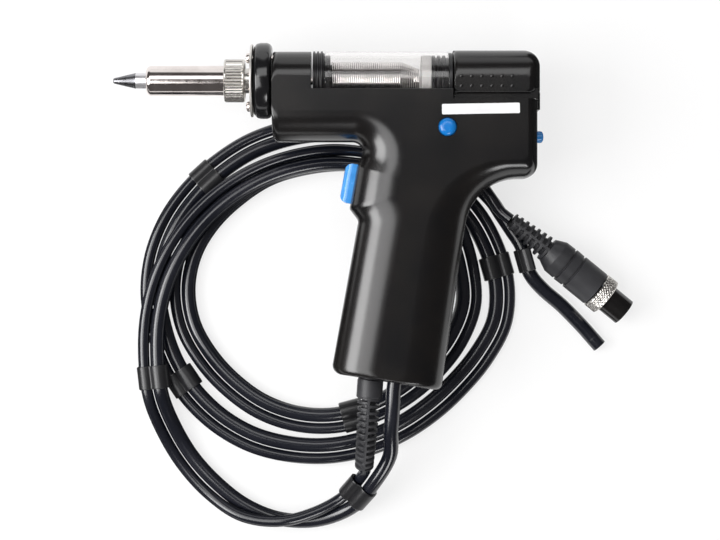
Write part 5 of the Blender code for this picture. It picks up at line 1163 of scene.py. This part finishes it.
# %% Cap
CAP_TOP, CAP_BOTTOM, CAP_HALF = 12.6, 6.4, 15.6
CAP_OUTLINE = [(CAP_START, -CAP_BOTTOM, 0.5, 0.05), (CAP_END, -CAP_BOTTOM, 1.0, 0.45),
               (CAP_END, CAP_TOP, 7.0, 0.95), (CAP_START, CAP_TOP, 0.5, 0.05)]


def cap_side(side, half=CAP_HALF):
    """One side of the cap's solid, from the middle plane outwards."""
    return pillow(CAP_OUTLINE, side, 0.0, half, 18, radians(5.0), 2.0)


cap = finished("sliding_cap", cap_side(1), BLACK_CASE)
shaped(cap, [cap_side(-1)], "UNION")
shaped(cap, [
    block((CAP_START + CAP_WALL, -FAR, 2.4 - CAP_HALF), (CAP_END - 2.4, CAP_TOP - 7.0, CAP_HALF - 2.4)),
    block((CAP_START + CAP_WALL, -FAR, -CAP_HALF / 2), (CAP_END - 7.0, CAP_TOP - CAP_WALL, CAP_HALF / 2)),
    pin((CAP_START - 1, 0, 0), (CAP_START + CAP_WALL + 1, 0, 0), 3.7)])
rail_end = RAIL_START + RAIL_LENGTH
hook_foot = -DECK_DEPTH - DECK_THICKNESS - 2.2
line_foot = -CAP_BOTTOM + 0.2
added = [block((*low[:2], side * low[2]), (*high[:2], side * high[2])) for side in (1, -1) for low, high in (
    ((CAP_START + 0.6, -DECK_DEPTH + GAP, RAIL_IN), (CAP_END - 1.5, -CAP_BOTTOM + 2.0, 13.6)),
    ((RAIL_START, hook_foot, RAIL_IN), (rail_end, -DECK_DEPTH + 1, RAIL_OUT)),
    ((RAIL_START, hook_foot, RAIL_IN - 1.6), (rail_end, hook_foot + 2.2 - GAP, RAIL_OUT)))]
added.append(block((HOUSING_LENGTH + GAP, -12.9, -6.0), (CAP_END - 0.02, -CAP_BOTTOM + 1, 6.0), 0.25, 2))
ridges = []
for side in (1, -1):
    for row in (-3.4, 0.7):
        for x in (CAP_START + 3.2 + column * 4.3 for column in range(6)):
            added.append(block((x - 0.7, row - 0.7, side * (CAP_HALF - 1.2)),
                               (x + 0.7, row + 0.7, side * (CAP_HALF + 0.4)), 0.4, 2))
    added.append(block((CAP_START + 0.5, line_foot, side * (CAP_HALF - 0.5)),
                       (CAP_END - 4.4, line_foot + 0.4, side * (CAP_HALF + 0.2)), 0.15, 2))
    strip = block((CAP_START + 0.5, line_foot, side * 5.0), (CAP_START + 0.9, CAP_TOP - 0.6, side * FAR))
    proud = finished("tool", cap_side(side, CAP_HALF + 0.2), BLACK_CASE)
    ridges.append(shaped(proud, [strip], "INTERSECT"))
shaped(cap, added + ridges, "UNION")
mount(cap, "cap", "rear_cap", slot="black_case")

# %% [markdown]
# ## Trigger and buttons
# The trigger is a rounded blue key in a slot of the grip's front, with a flange that keeps it in
# and a stem that reaches the switch. The side button is a shallow dome. The one at the rear is a
# small peg.

# %% Trigger
FLANGE_U, FLANGE_THICK = 3.0, 1.8
tall, wide = TRIGGER_LENGTH / 2, TRIGGER_WIDTH / 2
key = block((-5.0, -tall, -wide), (4.0, tall, wide))
rounded_off(key, [e for e in key.edges if all(v.co.x < 0 for v in e.verts)], 3.2, 8, clamp=False)
bmesh.ops.transform(key, matrix=TRIGGER_FRAME, verts=key.verts)
trigger = finished("trigger_key", key, TRIGGER_BLUE)
flange = block((FLANGE_U, -tall - 0.5, -wide - 1.2), (FLANGE_U + FLANGE_THICK, tall - 1.5, wide + 1.2),
               matrix=TRIGGER_FRAME)
stem = block((FLANGE_U + 1, -1.3, -1.3), (FLANGE_U + FLANGE_THICK + 3.4, 1.3, 1.3), matrix=TRIGGER_FRAME)
shaped(trigger, [flange, stem], "UNION")
mount(trigger, "trigger_key", "trigger", slot="blue_plastic")

# %% Buttons
foot, top = span_of("side_button", 2)
flange_top = HALF_THICKNESS - WALL - GAP
dome = [(HALF_THICKNESS + (top - HALF_THICKNESS) * sin(a), SIDE_BUTTON_RADIUS * (0.35 + 0.65 * cos(a)))
        for a in quarter(8)]
button = spun([(foot, 0), (foot, SIDE_BUTTON_RADIUS + 1), (flange_top, SIDE_BUTTON_RADIUS + 1),
               (flange_top, SIDE_BUTTON_RADIUS)] + dome + [(top, 0)],
              place=(SIDE_BUTTON_X, -SIDE_BUTTON_DEPTH, 0), heading=(0, 0, 1))
mount(finished("side_dome", button, BUTTON_BLUE), "side_key", "side_button", slot="blue_plastic")

foot, peg = span_of("release_button", 0)
flange_back = HOUSING_LENGTH - WALL - GAP
button = spun([(foot, 0), (foot, 1.4), (flange_back - 1.2, 1.4), (flange_back - 1.2, 4.0), (flange_back, 4.0),
               (flange_back, RELEASE_RADIUS), (peg - 1.3, RELEASE_RADIUS), (peg - 0.6, 2.3),
               (peg - 0.15, 1.5), (peg, 0.6), (peg, 0)], steps=48, place=(0, -RELEASE_DEPTH, 0))
# The rear peg takes the trigger's paler blue instead of the buttons' blue: painted light for an end that gets
# little lamp light.
mount(finished("release_peg", button, TRIGGER_BLUE), "release_key", "release_button", slot="blue_plastic")

# %% [markdown]
# ## The gland
# A rubber gland lets the lead bend without breaking at the grip. Below its collar it is cut with
# short slots, which alternate from one side to the other so that it flexes both ways.

# %% Gland
BOOT_RADIUS, BOOT_RIB_RADIUS, BOOT_END_RADIUS, BOOT_RIBS = 5.6, 4.9, 4.1, 12
neck = BOOT_RADIUS - 1.6
STATIONS_A_SLOT = 14


def even_stations(start, end, first, last, count):
    """(place, radius) at even steps from one to the other."""
    return [(start + (end - start) * k / count, first + (last - first) * k / count) for k in range(count + 1)]


stations = [(-5.8, neck + 1.2), (-3.4, neck + 1.2), (-3.3, neck), (-GAP, neck), (-0.2, BOOT_RADIUS - 0.3),
            (0.1, BOOT_RADIUS), (BOOT_COLLAR - 0.4, BOOT_RADIUS), (BOOT_COLLAR - 0.05, BOOT_RADIUS - 0.4),
            (BOOT_COLLAR, BOOT_RIB_RADIUS)]
stations += even_stations(BOOT_COLLAR + 0.3, BOOT_LENGTH - 0.3, BOOT_RIB_RADIUS, BOOT_END_RADIUS,
                          BOOT_RIBS * STATIONS_A_SLOT)
stations.append((BOOT_LENGTH, BOOT_END_RADIUS - 0.4))


def slotted(along, angle, radius, pitch, depth, first):
    """Radius where slots on the two sides alternate, half a pitch apart."""
    if along < first:
        return radius
    side = 0.0 if cos(angle) > 0 else 0.5
    phase = ((along - first) / pitch + side) % 1.0
    edge = min(max((abs(cos(angle)) - 0.12) / 0.12, 0.0), 1.0)
    inside = min(max((0.29 - abs(phase - 0.5)) / 0.06, 0.0), 1.0)
    return radius - depth * inside * edge


def gland_surface(k, angle):
    """Radius of the gland at one of its stations."""
    along, radius = stations[k]
    if along >= BOOT_LENGTH - 0.5:
        return radius
    pitch = (BOOT_LENGTH - BOOT_COLLAR) / BOOT_RIBS
    return slotted(along, angle, radius, pitch, radius - 3.05, BOOT_COLLAR + 0.6)


def across(place, heading):
    """A frame at a place that looks along a heading, with its X level."""
    level = Vector((0, 0, 1)).cross(heading).normalized()
    return framed(place, level, heading.cross(level), heading)


rings = [across(*boot_path(along)) for along, _ in stations]
gland = finished("gland", skin(rings, 64, gland_surface), SOFT_BLACK, angle=50.0)
mount(gland, "gun", "strain_relief", slot="black_rubber")


# %% [markdown]
# ## Clips
# Small glossy clips hold the lead and the hose side by side. Each is a thin skin over both cords, cut
# off flat below, with two channels of the cords' own sizes, so a clip fits only where the two run.

# %% Double clips
CLIP_LENGTH = 10.2
CLIP_WALL = 1.1


def clip(number, centre, ahead, right, lead_offset, hose_offset):
    """One double clip, snapped over both cords."""
    place = framed(centre, right, ahead, right.cross(ahead).normalized())
    circles = [(lead_offset, CABLE_RADIUS + CLIP_WALL), (hose_offset, HOSE_RADIUS + CLIP_WALL)]
    left_end = min(offset.x - radius for offset, radius in circles)
    right_end = max(offset.x + radius for offset, radius in circles)
    inner_left, inner_right = sorted((lead_offset.x, hose_offset.x))
    bridge = min(lead_offset.z, hose_offset.z) + CABLE_RADIUS * 0.75
    upper = []
    for k in range(1, 48):
        x = left_end + (right_end - left_end) * (1 - cos(pi * k / 48)) / 2
        tops = [offset.z + (radius ** 2 - (x - offset.x) ** 2) ** 0.5 for offset, radius in circles
                if abs(x - offset.x) <= radius]
        if inner_left < x < inner_right:
            tops.append(bridge)
        upper.append((x, max(tops) if tops else bridge))
    outline = upper + [(right_end, 1.4), (right_end - 0.7, 0.5), (left_end + 0.7, 0.5), (left_end, 1.4)]
    middle = sum(x for x, _ in outline) / len(outline)
    half_length = CLIP_LENGTH / 2
    ends = [(-half_length, 0.95), (0.35 - half_length, 1.0), (half_length - 0.35, 1.0), (half_length, 0.95)]
    body = lofted([[(middle + (x - middle) * tight, y, 3.0 + (z - 3.0) * tight) for x, z in outline]
                   for y, tight in ends])
    bmesh.ops.transform(body, matrix=place, verts=body.verts)
    made = finished(f"clip_{number}", body, BLACK_RUBBER, BENCH)
    tools = [block((inner_left, -20, -CABLE_RADIUS), (inner_right, 20, CABLE_RADIUS), matrix=place)]
    for offset, radius in ((lead_offset, CABLE_RADIUS), (hose_offset, HOSE_RADIUS)):
        reach = Vector((0, CLIP_LENGTH, 0))
        tools.append(pin(place @ (offset - reach), place @ (offset + reach), radius + 0.45, 40))
    shaped(made, tools, place=BENCH)
    return mount(made, "gun", f"cord_clip_{number}", slot="black_rubber")


for number, i in enumerate(CLIP_PLACES, 1):
    lead_mid, hose_mid = ((here + there) / 2 for here, there in zip(pairs[i], pairs[i + 1]))
    ahead = (pairs[i + 1][1] - pairs[i][1]).normalized()
    right = Vector((ahead.y, -ahead.x, 0)).normalized()
    base = (lead_mid + hose_mid) / 2
    base.z = min(lead_mid.z - CABLE_RADIUS, hose_mid.z - HOSE_RADIUS)
    offsets = [Vector(((p - base).dot(right), 0, p.z - base.z)) for p in (lead_mid, hose_mid)]
    clip(number, base, ahead, right, *offsets)
first, second = (Vector(p) for p in HOSE_FAR[2:4])
ahead = (second - first).normalized()
down = Vector((0, 0, -1))
foot_at = (first + second) / 2 - down.cross(ahead) * HOSE_RADIUS
lone_clip = clip(7, foot_at, ahead, down, Vector((-CABLE_RADIUS - HOSE_RADIUS - CORD_GAP, 0, CABLE_RADIUS)),
                 Vector((0, 0, HOSE_RADIUS)))

# %% [markdown]
# ## The connector
# The lead ends in a round connector: a slotted boot, a stepped rubber body, a bright
# coupling ring with crossed knurls, and a black insert with a keyway. Crossed knurls are two sets of
# grooves that wind opposite ways, so the ring's radius is the deeper of two slanted waves.

# %% Boot and body of the connector
PLUG_RADIUS, PLUG_RIBS = 8.2, 7
plug_start = Vector(PLUG_START)
along = plug_axis()
boot, trunk, ring_length, nose_length = PLUG_LENGTHS
trunk_end = boot + trunk
plug_frame = across(plug_start, along)
spots = [(0.0, 3.2), (0.2, 3.8)] + even_stations(0.3, boot - 0.3, 3.8, 5.8, PLUG_RIBS * STATIONS_A_SLOT)
cuts = [(boot, ((0.0, 2.4), (0.6, 2.0), (3.6, 0.6), (4.2, 0.3)))]   # (start, (further, less radius)...)
cuts += [(boot + groove, ((-0.15, 0.15), (0.0, 0.85), (0.9, 0.85), (1.05, 0.0))) for groove in (9.0, 14.0)]
cuts.append((trunk_end, ((-0.5, 0.0), (-0.1, 0.15), (0.0, 0.5))))
spots += [(start + further, PLUG_RADIUS - less) for start, steps in cuts for further, less in steps]


def plug_surface(k, angle):
    """Radius of the connector's rubber at one of its stations."""
    spot, radius = spots[k]
    if spot > boot - 0.4:
        return radius
    return slotted(spot, angle, radius, boot / PLUG_RIBS, 0.85 + 1.0 * spot / boot, 0.3)


rubber = skin([plug_frame @ Matrix.Translation((0, 0, spot)) for spot, _ in spots], 64, plug_surface)
plug_body = finished("plug_body", rubber, SOFT_BLACK, BENCH, angle=50.0)
mount(plug_body, "gun", "connector_body", slot="black_rubber")

# %% Coupling ring
ring_at = plug_start + along * (trunk_end + GAP)
ring_frame = upright(ring_at, along)
RING_TEETH, CORE_RADIUS = 34, 5.3
ring_spots = [0.0, 0.3, 0.7] + [0.7 + (ring_length - 1.4) * k / 14 for k in range(1, 14)]
ring_spots += [ring_length - 0.7, ring_length - 0.3, ring_length]


def crossed(k, angle):
    """Radius of the ring, lowest where two slanted sets of grooves run."""
    spot = ring_spots[k]
    edge = min(spot, ring_length - spot)
    if edge < 0.65:
        return COUPLING_RADIUS - (0.3 if edge < 0.1 else 0.0)
    depth = 0.0
    for slant in (1.0, -1.0):
        wave = (angle * RING_TEETH / (2 * pi) + slant * spot / 1.5) % 1.0
        depth = max(depth, 1 - 4.0 * min(wave, 1 - wave))
    return COUPLING_RADIUS - 0.32 * max(depth, 0.0)


body = skin([ring_frame @ Matrix.Translation((0, 0, spot)) for spot in ring_spots], RING_TEETH * 8, crossed)
ring = finished("knurled_ring", body, BRIGHT_METAL, BENCH, angle=40.0)
shaped(ring, [pin(ring_at - along, ring_at + along * (ring_length + 1), CORE_RADIUS + GAP, 64)],
       angle=40.0, place=BENCH)
mount(ring, "connector_ring", "coupling_ring", slot="bright_metal")

# %% Insert
INSERT_RADIUS, PIN_CIRCLE, PINS = 6.1, 3.2, 5
step_at = ring_length + GAP
nose = step_at + nose_length
floor = nose - 1.5
body = spun([(0, 0), (0, CORE_RADIUS), (step_at, CORE_RADIUS), (step_at, INSERT_RADIUS),
             (nose, INSERT_RADIUS), (nose, INSERT_RADIUS - 1.0), (floor, INSERT_RADIUS - 1.0), (floor, 0)],
            place=ring_at, heading=along, eased=0.15)
insert = finished("insert", body, BLACK_CASE, BENCH)
level = Vector((-along.y, along.x, 0)).normalized()
key_from = ring_at + along * (step_at + 1) + level * INSERT_RADIUS
shaped(insert, [pin(key_from, key_from + along * nose_length, 0.9, 20)], place=BENCH)
mount(insert, "gun", "connector_insert", slot="black_case")
face = upright(ring_at + along * floor, along)
for k in range(PINS):
    turn = 2 * pi * k / PINS
    body = spun([(0, 0), (0, 0.55), (1.0, 0.55), (1.25, 0.3), (1.25, 0)], steps=16, heading=along,
                place=face @ Vector((PIN_CIRCLE * cos(turn), PIN_CIRCLE * sin(turn), 0)))
    mount(finished(f"contact_{k + 1}", body, BRIGHT_METAL, BENCH), "gun", slot="bright_metal")

# %% [markdown]
# ## The blank label
# A small white label sits on the gun's flat side, over the blue button. It is left bare.

# %% Label
LABEL_FROM, LABEL_TO, LABEL_MIDDLE = (72.0, -15.4), (104.9, -11.0), (88.5, -13.2)
LABEL_TURN = Matrix.Rotation(radians(1.0), 3, "Z")
bm = block((*LABEL_FROM, HALF_THICKNESS + 0.01), (*LABEL_TO, HALF_THICKNESS + 0.14))
corners = [e for e in bm.edges if abs((e.verts[0].co - e.verts[1].co).normalized().z) > 0.99]
rounded_off(bm, corners, 0.5, 4, clamp=False)
bmesh.ops.rotate(bm, verts=bm.verts, cent=(*LABEL_MIDDLE, HALF_THICKNESS), matrix=LABEL_TURN)
label = finished("label", bm, LABEL_WHITE)
mount(label, "gun")

# %% [markdown]
# ## What stays from the frame
# The pieces inside the gun are hardly seen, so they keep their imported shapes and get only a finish.

# %% Inner pieces
INNER = {"heater_core": CERAMIC, "suction_pipe": STEEL, "heater_leads": SILICONE, "vacuum_tube": SILICONE,
         "vacuum_elbow": BLACK_RUBBER, "hose_coupler": BRIGHT_METAL, "control_board": BOARD_GREEN,
         "side_switch": BLACK_CASE, "microswitch": BLACK_CASE, "trigger_spring": WIRE_STEEL,
         "release_spring": WIRE_STEEL, "power_leads": BLACK_RUBBER}
for node, paint in INNER.items():
    slots = frame["nodes"][node].data.materials
    if not slots:
        slots.append(paint)
    for k in range(len(slots)):
        slots[k] = paint
shown = [name for name, node in frame["nodes"].items() if not node.hide_render and name not in INNER]
print("nodes without a finish or a piece", shown)

# %% [markdown]
# ## The cords
# The lead and the hose ride on the gun's body, and their CAD nodes are hidden.

# %% Cords
for cord, node in ((lead, "power_cable"), (hose, "vacuum_hose")):
    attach(cord, "gun")
    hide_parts(node)
